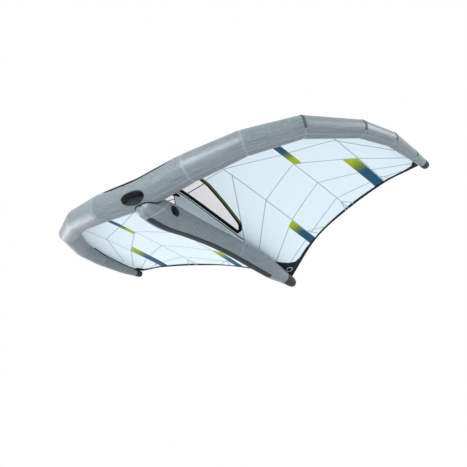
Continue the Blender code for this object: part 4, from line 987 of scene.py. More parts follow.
@dataclass
class CanopyShape:
    """Right half of the canopy's middle surface, from the leading edge to the trailing edge."""

    tube: TubeShape
    seat_angle: float = math.radians(30)
    seat_stand: float = 1.2 * MM
    trailing_reach_shares: tuple[float, ...] = (0.0, 0.280, 0.534, 0.777, 0.900, 0.942, 0.962, 0.978)
    trailing_depth: float = 2042 * MM
    trailing_depth_shares: tuple[float, ...] = (1.0, 0.88, 0.823, 0.796, 0.81, 0.816, 0.819, 0.8205)
    trailing_drop: float = 24 * MM
    trailing_rise: float = 401 * MM
    trailing_rise_shares: tuple[float, ...] = (0.0, 0.394, 0.638, 0.833, 0.938, 0.973, 0.992, 1.0)
    camber: float = 115 * MM
    camber_shares: tuple[float, ...] = (1.0, 0.9, 0.61, 0.39, 0.13, 0.05, 0.0, 0.0)
    camber_powers: tuple[float, ...] = (1.2, 0.85, 0.45, 0.5, 0.7, 1.0, 1.0, 1.0)
    camber_onset_share: float = 0.08
    last_rib_share: float = 0.83
    hem_width: float = 18 * MM
    hem_tip_width: float = 44 * MM
    hem_flare_station: float = 3.4
    hem_flare_run: float = 1.5
    rib_steps: tuple[int, ...] = (26, 24, 22, 20, 14, 12, 10)
    chord_steps: int = 110
    ray_height: float = METRE
    search_height: float = 250 * MM
    chord_ease_share: float = 0.45
    tree: BVHTree = field(init=False)

    def __post_init__(self) -> None:
        """Prepare the surface for looking up heights."""
        points = self.grid(self.shares(0.0, 1.0))
        self.tree = BVHTree.FromPolygons(points.reshape(-1, 3).tolist(), grid_faces(*points.shape[:2]))

    def stations(self) -> list[float]:
        """Rib stations from the middle plane to the tip."""
        stations = []
        for panel, steps in enumerate(self.rib_steps):
            stations.extend(panel + step / steps for step in range(steps))
        return stations + [float(len(self.rib_steps))]

    def shares(self, start: float, end: float) -> np.ndarray:
        """Chord shares, closer together near the leading edge, where the cloth curves most."""
        even = np.linspace(0.0, 1.0, self.chord_steps + 1)
        eased = even * (self.chord_ease_share + (1.0 - self.chord_ease_share) * even)
        return start + (end - start) * eased

    def rib_ends(self, station: float) -> tuple[np.ndarray, np.ndarray]:
        """Front point on the tube and trailing edge point of a rib.

        Args:
            station: rib station, whole or part.

        Returns:
            Both points.
        """
        panel = min(int(station), len(self.rib_steps) - 1)
        share = station - panel
        if panel == len(self.rib_steps) - 1:
            share = share * self.last_rib_share
        front = self.tube.ring(panel + share, np.array((self.seat_angle,)), self.seat_stand)[0]
        rise = self.trailing_rise * cubic_at(self.trailing_rise_shares, station)
        rear = np.array((self.tube.tip_reach * cubic_at(self.trailing_reach_shares, station),
                         self.trailing_depth * cubic_at(self.trailing_depth_shares, station),
                         rise - self.trailing_drop))
        return front, rear

    def rib(self, station: float, shares: np.ndarray) -> np.ndarray:
        """Points along one rib.

        Args:
            station: rib station.
            shares: chord shares.

        Returns:
            One point for each share.
        """
        front, rear = self.rib_ends(station)
        height = self.camber * max(cubic_at(self.camber_shares, station), 0.0)
        power = cubic_at(self.camber_powers, station)
        bulge = np.clip(1.0 - shares, 0.0, 1.0) ** power * (1.0 - np.exp(-shares / self.camber_onset_share))
        places = front + (rear - front) * shares[:, None]
        places[:, 2] += height * bulge
        return places

    def grid(self, shares: np.ndarray) -> np.ndarray:
        """Grid of surface points of the right half, one row for each rib."""
        return np.stack([self.rib(station, shares) for station in self.stations()])

    def hem_share(self, station: float) -> float:
        """Chord share where the trailing edge hem starts."""
        front, rear = self.rib_ends(station)
        wide = min(max((station - self.hem_flare_station) / self.hem_flare_run, 0.0), 1.0)
        width = self.hem_width + (self.hem_tip_width - self.hem_width) * wide
        return 1.0 - width / float(np.linalg.norm(rear - front))

    def over(self, reach: float, setback: float) -> tuple[np.ndarray, np.ndarray]:
        """Surface point and upward normal over a plan point.

        Args:
            reach: distance from the middle plane, on either side.
            setback: distance aft.

        Returns:
            The point and the normal.
        """
        down = Vector((0.0, 0.0, -1.0))
        place, normal, _, _ = self.tree.ray_cast(Vector((abs(reach), setback, self.ray_height)), down)
        if place is None:
            place, normal, _, _ = self.tree.find_nearest(Vector((abs(reach), setback, self.search_height)))
        if normal.z < 0.0:
            normal = -normal
        sign = math.copysign(1.0, reach)
        return np.array((sign * place.x, place.y, place.z)), np.array((sign * normal.x, normal.y, normal.z))


def inset_outline(outline: Outline, distance: float) -> Outline:
    """Move each edge of a plan outline inward.

    Args:
        outline: corners in order.
        distance: how far inward; a negative one moves it outward.

    Returns:
        The moved corners.
    """
    corners = [Vector(corner) for corner in outline]
    count = len(corners)
    area = sum(corners[index - 1].cross(corners[index]) for index in range(count))
    turn = math.copysign(1.0, area)
    moved = []
    for index in range(count):
        before = (corners[index] - corners[index - 1]).normalized()
        after = (corners[(index + 1) % count] - corners[index]).normalized()
        inward_before = Vector((-before.y, before.x)) * turn
        inward_after = Vector((-after.y, after.x)) * turn
        middle = (inward_before + inward_after).normalized()
        corner = corners[index] + middle * (distance / middle.dot(inward_after))
        moved.append((corner.x, corner.y))
    return moved


def rounded_outline(outline: Outline, radius: float, steps: int = 4, parts: int = 3) -> Outline:
    """Round the corners of a plan outline.

    Args:
        outline: corners in order.
        radius: distance from a corner at which its rounding starts.
        steps: number of short edges at each corner.
        parts: a rounding takes no more than one of this many parts of an edge.

    Returns:
        The rounded outline.
    """
    result = []
    count = len(outline)
    for index in range(count):
        corner = Vector(outline[index])
        before = Vector(outline[index - 1]) - corner
        after = Vector(outline[(index + 1) % count]) - corner
        start = corner + before.normalized() * min(radius, before.length / parts)
        end = corner + after.normalized() * min(radius, after.length / parts)
        for step in range(steps + 1):
            share = step / steps
            point = start * (1 - share) ** 2 + corner * 2 * share * (1 - share) + end * share ** 2
            result.append((point.x, point.y))
    return result


def inside_outline(outline: Outline, x: float, y: float) -> bool:
    """Tell whether a plan point lies inside an outline.

    Args:
        outline: corners in order.
        x: reach of the point.
        y: setback of the point.

    Returns:
        True inside.
    """
    inside = False
    for (x0, y0), (x1, y1) in zip(outline, outline[1:] + outline[:1]):
        if (y0 > y) != (y1 > y) and x < x0 + (x1 - x0) * (y - y0) / (y1 - y0):
            inside = not inside
    return inside


@dataclass
class ClothCutter:
    """Cuts a cloth mesh along plan outlines, as a cutter does on the table."""

    margin: float = 25 * MM
    tolerance: float = 0.01 * MM

    def mark(self, work: OpenMesh, outline: Outline, side: Side) -> list[Face]:
        """Cut along an outline and find the faces inside it.

        Args:
            work: mesh to cut, in the world's frame.
            outline: right-hand outline in the wing's frame.
            side: half of the wing that the outline is for.

        Returns:
            The faces inside the outline.
        """
        corners = [(side.value * x, y + float(WING_SHIFT[1])) for x, y in outline]
        low_x = min(corner[0] for corner in corners) - self.margin
        high_x = max(corner[0] for corner in corners) + self.margin
        low_y = min(corner[1] for corner in corners) - self.margin
        high_y = max(corner[1] for corner in corners) + self.margin

        def close(face: Face) -> bool:
            """Tell whether a face touches the outline's box."""
            xs = [vert.co.x for vert in face.verts]
            ys = [vert.co.y for vert in face.verts]
            return max(xs) > low_x and min(xs) < high_x and max(ys) > low_y and min(ys) < high_y

        parts = with_edges([face for face in work.faces if close(face)])
        for (x0, y0), (x1, y1) in zip(corners, corners[1:] + corners[:1]):
            parts = bmesh.ops.bisect_plane(work, geom=parts, dist=self.tolerance, plane_co=(x0, y0, 0.0),
                                           plane_no=(y1 - y0, x0 - x1, 0.0))["geom"]
        found = []
        for face in parts:
            if isinstance(face, Face):
                middle = face.calc_center_median()
                if inside_outline(corners, middle.x, middle.y):
                    found.append(face)
        return found


# Plan lines of the seams on the canopy's right half, each corner's reach and setback in millimetres.
SEAM_ROWS_MM = (
    ((425, 190), (425, 1790)),
    ((810, 280), (816, 1700)),
    ((1165, 470), (1190, 1612)),
    ((220, 530), (425, 520), (810, 710), (1160, 870), (1450, 1375)),
    ((425, 621), (5, 1330)),
    ((802, 872), (862, 910), (1172, 1187), (1462, 1512)),
    ((802, 872), (425, 1057), (30, 1500)),
    ((814, 1210), (1178, 1400), (1480, 1628)),
    ((814, 1210), (423, 1427), (30, 1750)),
    ((816, 1500), (1187, 1550), (1340, 1620)),
    ((816, 1500), (427, 1700), (100, 1870)),
    ((428, 1650), (475, 1760)),
    ((428, 1650), (550, 1728)),
    ((814, 1565), (788, 1692)),
    ((814, 1565), (880, 1655)),
    ((1192, 1535), (1240, 1612)),
)

# Name, colour order, setbacks of the colour run and corners of each printed stripe, in millimetres.
# A corner that lies past the trailing edge is cut off there.
STRIPE_ROWS_MM = (
    ("stripe_front", Run.BLUE_TO_LIME, (600, 910),
     ((810, 120), (862, 120), (862, 910), (810, 872))),
    ("stripe_outer", Run.LIME_TO_BLUE, (1130, 1620),
     ((1088, 1115), (1175, 1190), (1188, 1800), (1111, 1800))),
    ("stripe_inner", Run.LIME_TO_BLUE, (1440, 1800),
     ((355, 1475), (423, 1427), (429, 2100), (359, 2100))),
)


def from_millimetres(row: tuple[tuple[float, float], ...]) -> Outline:
    """Turn a row of plan points from millimetres into metres."""
    return [(reach * MM, setback * MM) for reach, setback in row]


@dataclass
class Canopy:
    """Canopy cloth with its stripes, seams, windows, hem and corner patches."""

    shape: CanopyShape
    wardrobe: Wardrobe
    cutter: ClothCutter = field(default_factory=ClothCutter)
    patch_thickness: float = 2.0 * MM
    film_thickness: float = 0.5 * MM
    hem_thickness: float = 2.0 * MM
    seat_tape_start: float = 4.3
    seat_tape_width: float = 26 * MM
    seat_tape_growth: float = 13 * MM
    seat_tape_steps: int = 5
    window_inner_side: float = 25 * MM
    window_front: float = 290 * MM
    window_length: float = 915 * MM
    window_reach: float = 262 * MM
    window_reach_shares: tuple[float, ...] = (1.0, 0.93, 0.74, 0.49, 0.29)
    window_length_shares: tuple[float, ...] = (0.0, 0.32, 0.6, 0.92, 0.995)
    window_frame_width: float = 30 * MM
    window_corner: float = 22 * MM
    pane_corner: float = 38 * MM
    window_seam_setback: float = 550 * MM
    window_seam_ends: tuple[float, float] = (40 * MM, 225 * MM)
    web_seam_reach: float = 13 * MM
    web_seam_ends: tuple[float, float] = (450 * MM, 1300 * MM)
    web_seam_width: float = 8 * MM
    collar_reach: float = 45 * MM
    collar_inset: float = 107 * MM
    collar_radius: float = 26 * MM
    collar_width: float = 7 * MM
    collar_thickness: float = 4.4 * MM
    collar_sides: int = 28
    window_line_inset: float = 11 * MM
    window_line_width: float = 5 * MM
    window_line_thickness: float = 2.6 * MM
    clew_front: float = 1700 * MM
    clew_length: float = 200 * MM
    clew_reach: float = 410 * MM
    clew_reach_shares: tuple[float, ...] = (0.0, 0.12, 0.24, 0.34, 0.49, 0.73, 1.0)
    clew_length_shares: tuple[float, ...] = (0.0, 0.45, 0.82, 0.97, 0.9, 0.62, 0.42)
    tip_reach: float = 1405 * MM
    tip_front: float = 1560 * MM
    tip_depth: float = 85 * MM
    tip_run: float = 62 * MM
    spare: float = 300 * MM
    seam_width: float = 8 * MM
    seam_thickness: float = 1.2 * MM
    seam_step: float = 18 * MM
    least_reach: float = 0.1 * MM
    hem_columns: int = 3
    hem_overlap_share: float = 0.001
    cut_width: float = 3600 * MM
    cut_length: float = 2100 * MM
    window_flat: tuple[float, float] = (290 * MM, 960 * MM)

    def window_outline(self) -> Outline:
        """Plan outline of the window with its frame."""
        outline = [(self.window_inner_side, self.window_front)]
        for reach, run in zip(self.window_reach_shares, self.window_length_shares):
            outline.append((self.window_reach * reach, self.window_front + self.window_length * run))
        outline.append((self.window_inner_side, self.window_front + self.window_length))
        return outline

    def film_outline(self) -> Outline:
        """Plan outline of the window film, which ends under the middle of its frame."""
        return rounded_outline(inset_outline(self.window_outline(), self.window_frame_width / 2),
                               self.window_corner)

    def clew_outline(self) -> Outline:
        """Plan outline of the clew patch, run out past the trailing edge."""
        outline = []
        for reach, run in zip(self.clew_reach_shares, self.clew_length_shares):
            outline.append((self.clew_reach * reach, self.clew_front + self.clew_length * run))
        outline.append((self.clew_reach, self.shape.trailing_depth + self.spare))
        outline.append((0.0, self.shape.trailing_depth + self.spare))
        return outline

    def tip_outline(self) -> Outline:
        """Plan outline of the tip patch, run out past the trailing edge."""
        edge = self.shape.tube.tip_reach + self.spare
        return [(self.tip_reach, self.tip_front + self.tip_depth),
                (self.tip_reach + self.tip_run, self.tip_front), (edge, self.tip_front),
                (edge, self.shape.trailing_depth), (self.tip_reach, self.shape.trailing_depth)]

    def stripes(self) -> list[tuple[str, Run, float, float, Outline]]:
        """Name, colour order, setbacks of the colour run and plan outline of each printed stripe."""
        return [(name, run, start * MM, end * MM, from_millimetres(corners))
                for name, run, (start, end), corners in STRIPE_ROWS_MM]

    def seam_paths(self) -> list[Outline]:
        """Plan lines of the canopy's seams on the right half."""
        return [from_millimetres(row) for row in SEAM_ROWS_MM]

    def collar_path(self) -> Outline:
        """Plan circle of the pale collar sewn around an eyelet."""
        turns = [FULL_TURN * side / self.collar_sides for side in range(self.collar_sides + 1)]
        setback = self.shape.trailing_depth - self.collar_inset
        return [(self.collar_reach + self.collar_radius * math.cos(turn),
                 setback + self.collar_radius * math.sin(turn)) for turn in turns]

    def whole_grid(self, shares_of: object) -> tuple[np.ndarray, np.ndarray]:
        """Grid of both halves with its cloth coordinates.

        Args:
            shares_of: function from a rib station to its chord shares.

        Returns:
            Points and cloth coordinates.
        """
        right = np.stack([self.shape.rib(station, shares_of(station)) for station in self.shape.stations()])
        points = both_halves(right)
        return points, points.copy()

    def build_cloth(self) -> Piece:
        """Make the canopy cloth with its window holes and printed stripes."""
        shape = self.shape
        points, places = self.whole_grid(lambda station: shape.shares(0.0, shape.hem_share(station)))
        mesh = cloth_mesh("canopy_cloth", points, places)
        stripes = self.stripes()
        pane = self.film_outline()
        with opened(mesh) as work:
            for side in Side:
                bmesh.ops.delete(work, geom=self.cutter.mark(work, pane, side), context="FACES")
            for index, (*_, outline) in enumerate(stripes):
                for side in Side:
                    for face in self.cutter.mark(work, outline, side):
                        face.material_index = index + 1
        cloth = add_piece("canopy_cloth", mesh, self.wardrobe.get("canopy"),
                          ("canopy_left", "canopy_right"))
        for name, run, start, end, _ in stripes:
            mesh.materials.append(self.wardrobe.stripe(name, run, start, end))
        mesh.shade_smooth()
        return cloth

    def build_inlay(self, name: str, outline: Outline, finish: str, thickness: float,
                    side: Side, hole: Outline | None = None) -> Piece:
        """Make a piece that follows the canopy inside a plan outline.

        Args:
            name: name of the piece, without its side.
            outline: right-hand plan outline.
            finish: name of its finish.
            thickness: thickness across the canopy.
            side: half of the wing.
            hole: outline that is cut out of it.

        Returns:
            The piece.
        """
        title = name + "_" + side.word
        points, places = self.whole_grid(lambda station: self.shape.shares(0.0, 1.0))
        mesh = cloth_mesh(title, points, places)
        with opened(mesh) as work:
            keep = set(self.cutter.mark(work, outline, side))
            bmesh.ops.delete(work, geom=[face for face in work.faces if face not in keep], context="FACES")
            if hole is not None:
                bmesh.ops.delete(work, geom=self.cutter.mark(work, hole, side), context="FACES")
        piece = add_piece(title, mesh, self.wardrobe.get(finish), (title,))
        thicken(piece, thickness)
        mesh.shade_smooth()
        return piece

    def tape_spots(self, start: tuple[float, float], end: tuple[float, float]) -> list[tuple]:
        """Places of a tape's sections along one straight plan line.

        Args:
            start: first end of the line.
            end: last end of the line.

        Returns:
            Plan point and unit vector across the tape at each section.
        """
        run = np.array(end) - np.array(start)
        length = float(np.linalg.norm(run))
        run = run / length
        steps = max(2, math.ceil(length / self.seam_step))
        across = np.array((-run[1], run[0]))
        return [(np.array(start) + run * length * step / steps, across) for step in range(steps + 1)]

    def tape_section(self, spot: np.ndarray, across: np.ndarray, thickness: float, side: Side) -> list[tuple]:
        """Four corners of a tape's section, under and over the canopy at each edge.

        Args:
            spot: plan point of the section's middle.
            across: plan step from there to one edge.
            thickness: thickness across the canopy.
            side: half of the wing.

        Returns:
            The corners, in the world's frame.
        """
        corners = []
        for edge in (spot - across, spot + across):
            reach = side.value * max(edge[0], self.least_reach)
            place, normal = self.shape.over(reach, edge[1])
            for level in (-1.0, 1.0):
                corners.append(tuple(place + normal * level * thickness / 2 + WING_SHIFT))
        return corners

    def build_tape(self, name: str, paths: list[Outline], width: float, thickness: float, finish: str,
                   breaks: tuple[Outline, ...] = ()) -> Piece:
        """Make narrow tapes that follow the canopy along plan lines.

        Args:
            name: name of the piece.
            paths: right-hand plan lines.
            width: width of a tape.
            thickness: thickness across the canopy.
            finish: name of its finish.
            breaks: outlines that the tapes stop at.

        Returns:
            The piece.
        """
        points: list[tuple] = []
        faces: list[tuple] = []
        for path in paths:
            for start, end in zip(path, path[1:]):
                for side in Side:
                    spots = self.tape_spots(start, end)
                    base = len(points)
                    for spot, across in spots:
                        points.extend(self.tape_section(spot, across * width / 2, thickness, side))
                    for step, ((here, _), (there, _)) in enumerate(zip(spots, spots[1:])):
                        middle = (here + there) / 2
                        if any(inside_outline(outline, *middle) for outline in breaks):
                            continue
                        near = base + 4 * step
                        far = near + 4
                        faces.extend(((near, near + 2, far + 2, far), (near + 1, far + 1, far + 3, near + 3),
                                      (near, far, far + 1, near + 1), (near + 2, near + 3, far + 3, far + 2)))
        mesh = bpy.data.meshes.new(name)
        mesh.from_pydata(points, [], faces)
        mark_cloth(mesh, np.array(points))
        with opened(mesh) as work:
            bmesh.ops.delete(work, geom=[vert for vert in work.verts if not vert.link_faces], context="VERTS")
        return add_piece(name, mesh, self.wardrobe.get(finish))

    def build_hem(self) -> Piece:
        """Make the folded hem along the trailing edge."""
        def shares(station: float) -> np.ndarray:
            """Shares across the hem, a little over the cloth."""
            start = self.shape.hem_share(station) - self.hem_overlap_share
            return np.linspace(start, 1.0, self.hem_columns + 1)

        points, places = self.whole_grid(shares)
        mesh = cloth_mesh("trailing_edge_hem", points, places)
        piece = add_piece("trailing_edge_hem", mesh, self.wardrobe.get("patch"),
                          ("te_hem_left", "te_hem_right"))
        thicken(piece, self.hem_thickness)
        return piece

    def build_seat_tape(self, side: Side) -> Piece:
        """Make the dark tape that closes the seam between the canopy and one tip of the leading edge."""
        rows = []
        for station in self.shape.stations():
            if station < self.seat_tape_start:
                continue
            front, rear = self.shape.rib_ends(station)
            width = self.seat_tape_width + self.seat_tape_growth * (station - self.seat_tape_start)
            reach = width / float(np.linalg.norm(rear - front))
            rows.append(self.shape.rib(station, np.linspace(0.0, reach, self.seat_tape_steps)))
        grid = on_side(np.stack(rows), side)
        name = "seat_tape_" + side.word
        piece = add_piece(name, cloth_mesh(name, grid, grid), self.wardrobe.get("binding"))
        thicken(piece, self.hem_thickness)
        return piece

    def build(self) -> None:
        """Make every piece of the canopy."""
        cloth = self.build_cloth()
        extras = [self.build_hem()] + [self.build_seat_tape(side) for side in Side]
        window = self.window_outline()
        pane = inset_outline(window, self.window_frame_width)
        inner = rounded_outline(pane, self.pane_corner)
        outer = rounded_outline(window, self.window_corner)
        for side in Side:
            extras.append(self.build_inlay("window_frame", outer, "binding",
                                           self.patch_thickness, side, inner))
            sheet = self.build_inlay("window", self.film_outline(), "film",
                                     self.film_thickness, side)
            for name, outline in (("clew_patch", self.clew_outline()), ("tip_patch", self.tip_outline())):
                extras.append(self.build_inlay(name, outline, "patch", self.patch_thickness,
                                               side))
        prints = tuple(row[-1] for row in self.stripes())
        extras.append(self.build_tape("canopy_seams", self.seam_paths(), self.seam_width, self.seam_thickness,
                                      "seam", prints))
        line = inset_outline(window, self.window_line_inset)[1:-2]
        extras.append(self.build_tape("window_lines", [line], self.window_line_width,
                                      self.window_line_thickness, "lime"))
        ends = [(self.web_seam_reach, setback) for setback in self.web_seam_ends]
        extras.append(self.build_tape("web_seam_lines", [ends], self.web_seam_width, self.seam_thickness,
                                      "binding"))
        extras.append(self.build_tape("eyelet_collars", [self.collar_path()], self.collar_width,
                                      self.collar_thickness, "collar"))
        across = [(reach, self.window_seam_setback) for reach in self.window_seam_ends]
        extras.append(self.build_tape("window_seams", [across], self.seam_width, self.seam_thickness,
                                      "binding"))


@dataclass
class Casings:
    """Inflated cloth tubes: the leading edge and the strut, with the cord between them."""

    tube: TubeShape
    strut: StrutShape
    wardrobe: Wardrobe
    sides_around: int = 96
    ring_spacing: float = 11 * MM
    seam_angle: float = math.radians(192)
    nose_rows: int = 60
    nose_row_power: float = 1.5
    nose_end: int = 7
    tail_seam_station: int = 9
    nose_seam: float = 249 * MM
    nose_seam_lean: float = 85 * MM
    strut_spacing: float = 9 * MM
    piping_radius: float = 4.5 * MM
    piping_stand: float = 2.7 * MM
    piping_sides: int = 10
    piping_steps: int = 240
    search_steps: int = 80
    halvings: int = 14
    bladder_gap: float = 5 * MM
    bladder_spacing: float = 25 * MM
    valve_opening: float = 18 * MM

    def angles(self, start: float) -> np.ndarray:
        """Angles once around a tube from a seam."""
        return np.linspace(start, start + FULL_TURN, self.sides_around + 1)

    def build_leading_edge(self) -> Piece:
        """Make the leading edge casing from tip to tip."""
        angles = self.angles(self.seam_angle)
        rows = []
        places = []
        seams = []
        for position in self.tube.sections(self.ring_spacing):
            rows.append(self.tube.ring(position, angles, self.tube.relief(position, angles)))
            along, away = self.tube.travelled(position)
            radius = self.tube.radius_at(position)
            around = (angles - self.seam_angle) * radius
            level = np.zeros_like(around)
            places.append(np.stack((around, level + along, level), axis=1))
            nearest = np.minimum(around, FULL_TURN * radius - around)
            seams.append(np.stack((nearest, level + away, level), axis=1))
        mesh = cloth_mesh("leading_edge_casing", both_halves(np.stack(rows)), self.both_ways(places))
        mark_cloth(mesh, self.both_ways(seams), SEAMS)
        nodes = ["le_panel_centre"]
        for panel in range(2, self.tube.panels + 1):
            nodes.extend(f"le_panel_{panel}_{side.word}" for side in Side)
        return add_piece("leading_edge_casing", mesh, self.wardrobe.get("casing"),
                         tuple(nodes))

    def both_ways(self, rows: list[np.ndarray]) -> np.ndarray:
        """Rows of the right half with the same rows for the left half before them."""
        right = np.stack(rows)
        return np.concatenate((right[:0:-1], right))

    def clearance(self, place: np.ndarray) -> float:
        """Distance of a point from the leading edge casing around the middle plane."""
        start = self.tube.centres[0]
        run = self.tube.centres[1] - start
        spot = np.array((abs(place[0]), place[1], place[2]))
        share = min(max(float((spot - start) @ run) / float(run @ run), 0.0), 1.0)
        radius = self.tube.radii[0] + (self.tube.radii[1] - self.tube.radii[0]) * share
        return float(np.linalg.norm(spot - start - run * share)) - float(radius)

    def nose_setback(self, angle: float, stand: float) -> float:
        """Setback where the strut's skin first clears the leading edge at one angle.

        Args:
            angle: angle around the strut.
            stand: clearance looked for.

        Returns:
            The setback.
        """
        low = float(self.strut.setbacks[0])
        high = float(self.strut.setbacks[self.nose_end])
        inside = low
        outside = high
        for step in range(self.search_steps + 1):
            setback = low + (high - low) * (step / self.search_steps) ** 2
            if self.clearance(self.strut.point(setback, angle, stand)) >= stand:
                outside = setback
                break
            inside = setback
        for _ in range(self.halvings):
            middle = (inside + outside) / 2
            if self.clearance(self.strut.point(middle, angle, stand)) >= stand:
                outside = middle
            else:
                inside = middle
        return outside

    def build_strut(self) -> Piece:
        """Make the strut casing from the saddle on the leading edge to the tail."""
        angles = self.angles(FULL_TURN / 2)
        starts = [self.nose_setback(float(angle), 0.0) for angle in angles]
        meet = float(self.strut.setbacks[self.nose_end])
        end = float(self.strut.setbacks[-1])
        rows = []
        for row in range(self.nose_rows):
            share = (row / self.nose_rows) ** self.nose_row_power
            rows.append([start + (meet - start) * share for start in starts])
        steps = math.ceil((end - meet) / self.strut_spacing)
        rows.extend([meet + (end - meet) * step / steps] * len(starts) for step in range(steps + 1))
        tail_seam = float(self.strut.setbacks[self.tail_seam_station])
        points = []
        places = []
        nearest = []
        for row in rows:
            for setback, angle in zip(row, angles):
                nose_seam = self.nose_seam + self.nose_seam_lean * math.cos(float(angle))
                away = min(abs(setback - nose_seam), abs(setback - tail_seam))
                sunk = self.tube.swell * math.exp(-(away / self.tube.pinch_reach) ** 2)
                points.append(self.strut.point(setback, float(angle), -sunk))
                girth = FULL_TURN * self.strut.read(self.strut.radii, setback)
                around = (float(angle) / FULL_TURN - 0.5) * girth
                places.append((around, setback, 0.0))
                nearest.append((min(around, girth - around), away, 0.0))
        size = (len(rows), len(angles), 3)
        mesh = cloth_mesh("strut_casing", np.array(points).reshape(size), np.array(places))
        mark_cloth(mesh, np.array(nearest), SEAMS)
        open_flank(mesh, VALVE_CENTRE, self.valve_opening)
        return add_piece("strut_casing", mesh, self.wardrobe.get("casing"),
                         ("strut_panel_nose", "strut_panel_middle", "strut_panel_tail"))

    def build_piping(self) -> Piece:
        """Make the cord that covers the seam between the strut and the leading edge."""
        path = []
        for step in range(self.piping_steps):
            angle = FULL_TURN * step / self.piping_steps
            setback = self.nose_setback(angle, self.piping_stand)
            path.append(self.strut.point(setback, angle, self.piping_stand))
        curve = bpy.data.curves.new("nose_piping_path", "CURVE")
        curve.dimensions = "3D"
        curve.bevel_depth = self.piping_radius
        curve.bevel_resolution = self.piping_sides // 4
        spline = curve.splines.new("POLY")
        spline.points.add(len(path) - 1)
        for point, place in zip(spline.points, path):
            point.co = (*(place + WING_SHIFT), 1.0)
        spline.use_cyclic_u = True
        holder = bpy.data.objects.new("nose_piping_path", curve)
        bpy.context.scene.collection.objects.link(holder)
        bpy.context.view_layer.update()
        mesh = bpy.data.meshes.new_from_object(holder.evaluated_get(bpy.context.evaluated_depsgraph_get()))
        bpy.data.objects.remove(holder)
        mesh.name = "strut_nose_piping"
        mark_cloth(mesh, np.array([tuple(vert.co) for vert in mesh.vertices]))
        mesh.shade_smooth()
        return add_piece("strut_nose_piping", mesh, self.wardrobe.get("binding"),
                         ("nose_piping",))

    def build_bladders(self) -> None:
        """Make the film bladders inside both casings, pressed out to just under the cloth."""
        angles = self.angles(0.0)[:-1]
        rings = [self.tube.ring(position, angles, -self.bladder_gap)
                 for position in self.tube.sections(self.bladder_spacing)[:-1]]
        grid = both_halves(np.array(rings))
        mesh = ring_mesh("leading_edge_bladder", grid, grid, (True, True))
        piece = add_piece("leading_edge_bladder", mesh, self.wardrobe.get("bladder"),
                          ("le_bladder",))
        starts = [self.nose_setback(float(angle), self.bladder_gap) + self.bladder_gap for angle in angles]
        end = float(self.strut.setbacks[-1]) - self.bladder_gap
        rings = []
        steps = math.ceil((end - max(starts)) / self.bladder_spacing)
        for step in range(steps + 1):
            share = step / steps
            rings.append([self.strut.point(start + (end - start) * share, float(angle), -self.bladder_gap)
                          for start, angle in zip(starts, angles)])
        grid = np.array(rings)
        mesh = ring_mesh("strut_air_bladder", grid, grid, (True, True))
        open_flank(mesh, VALVE_CENTRE, self.valve_opening)
        piece = add_piece("strut_air_bladder", mesh, self.wardrobe.get("bladder"),
                          ("strut_bladder",))

    def build(self) -> None:
        """Make both casings, which air keeps full and tight, their bladders and the cord."""
        self.build_leading_edge()
        self.build_strut()
        self.build_bladders()
        self.build_piping()


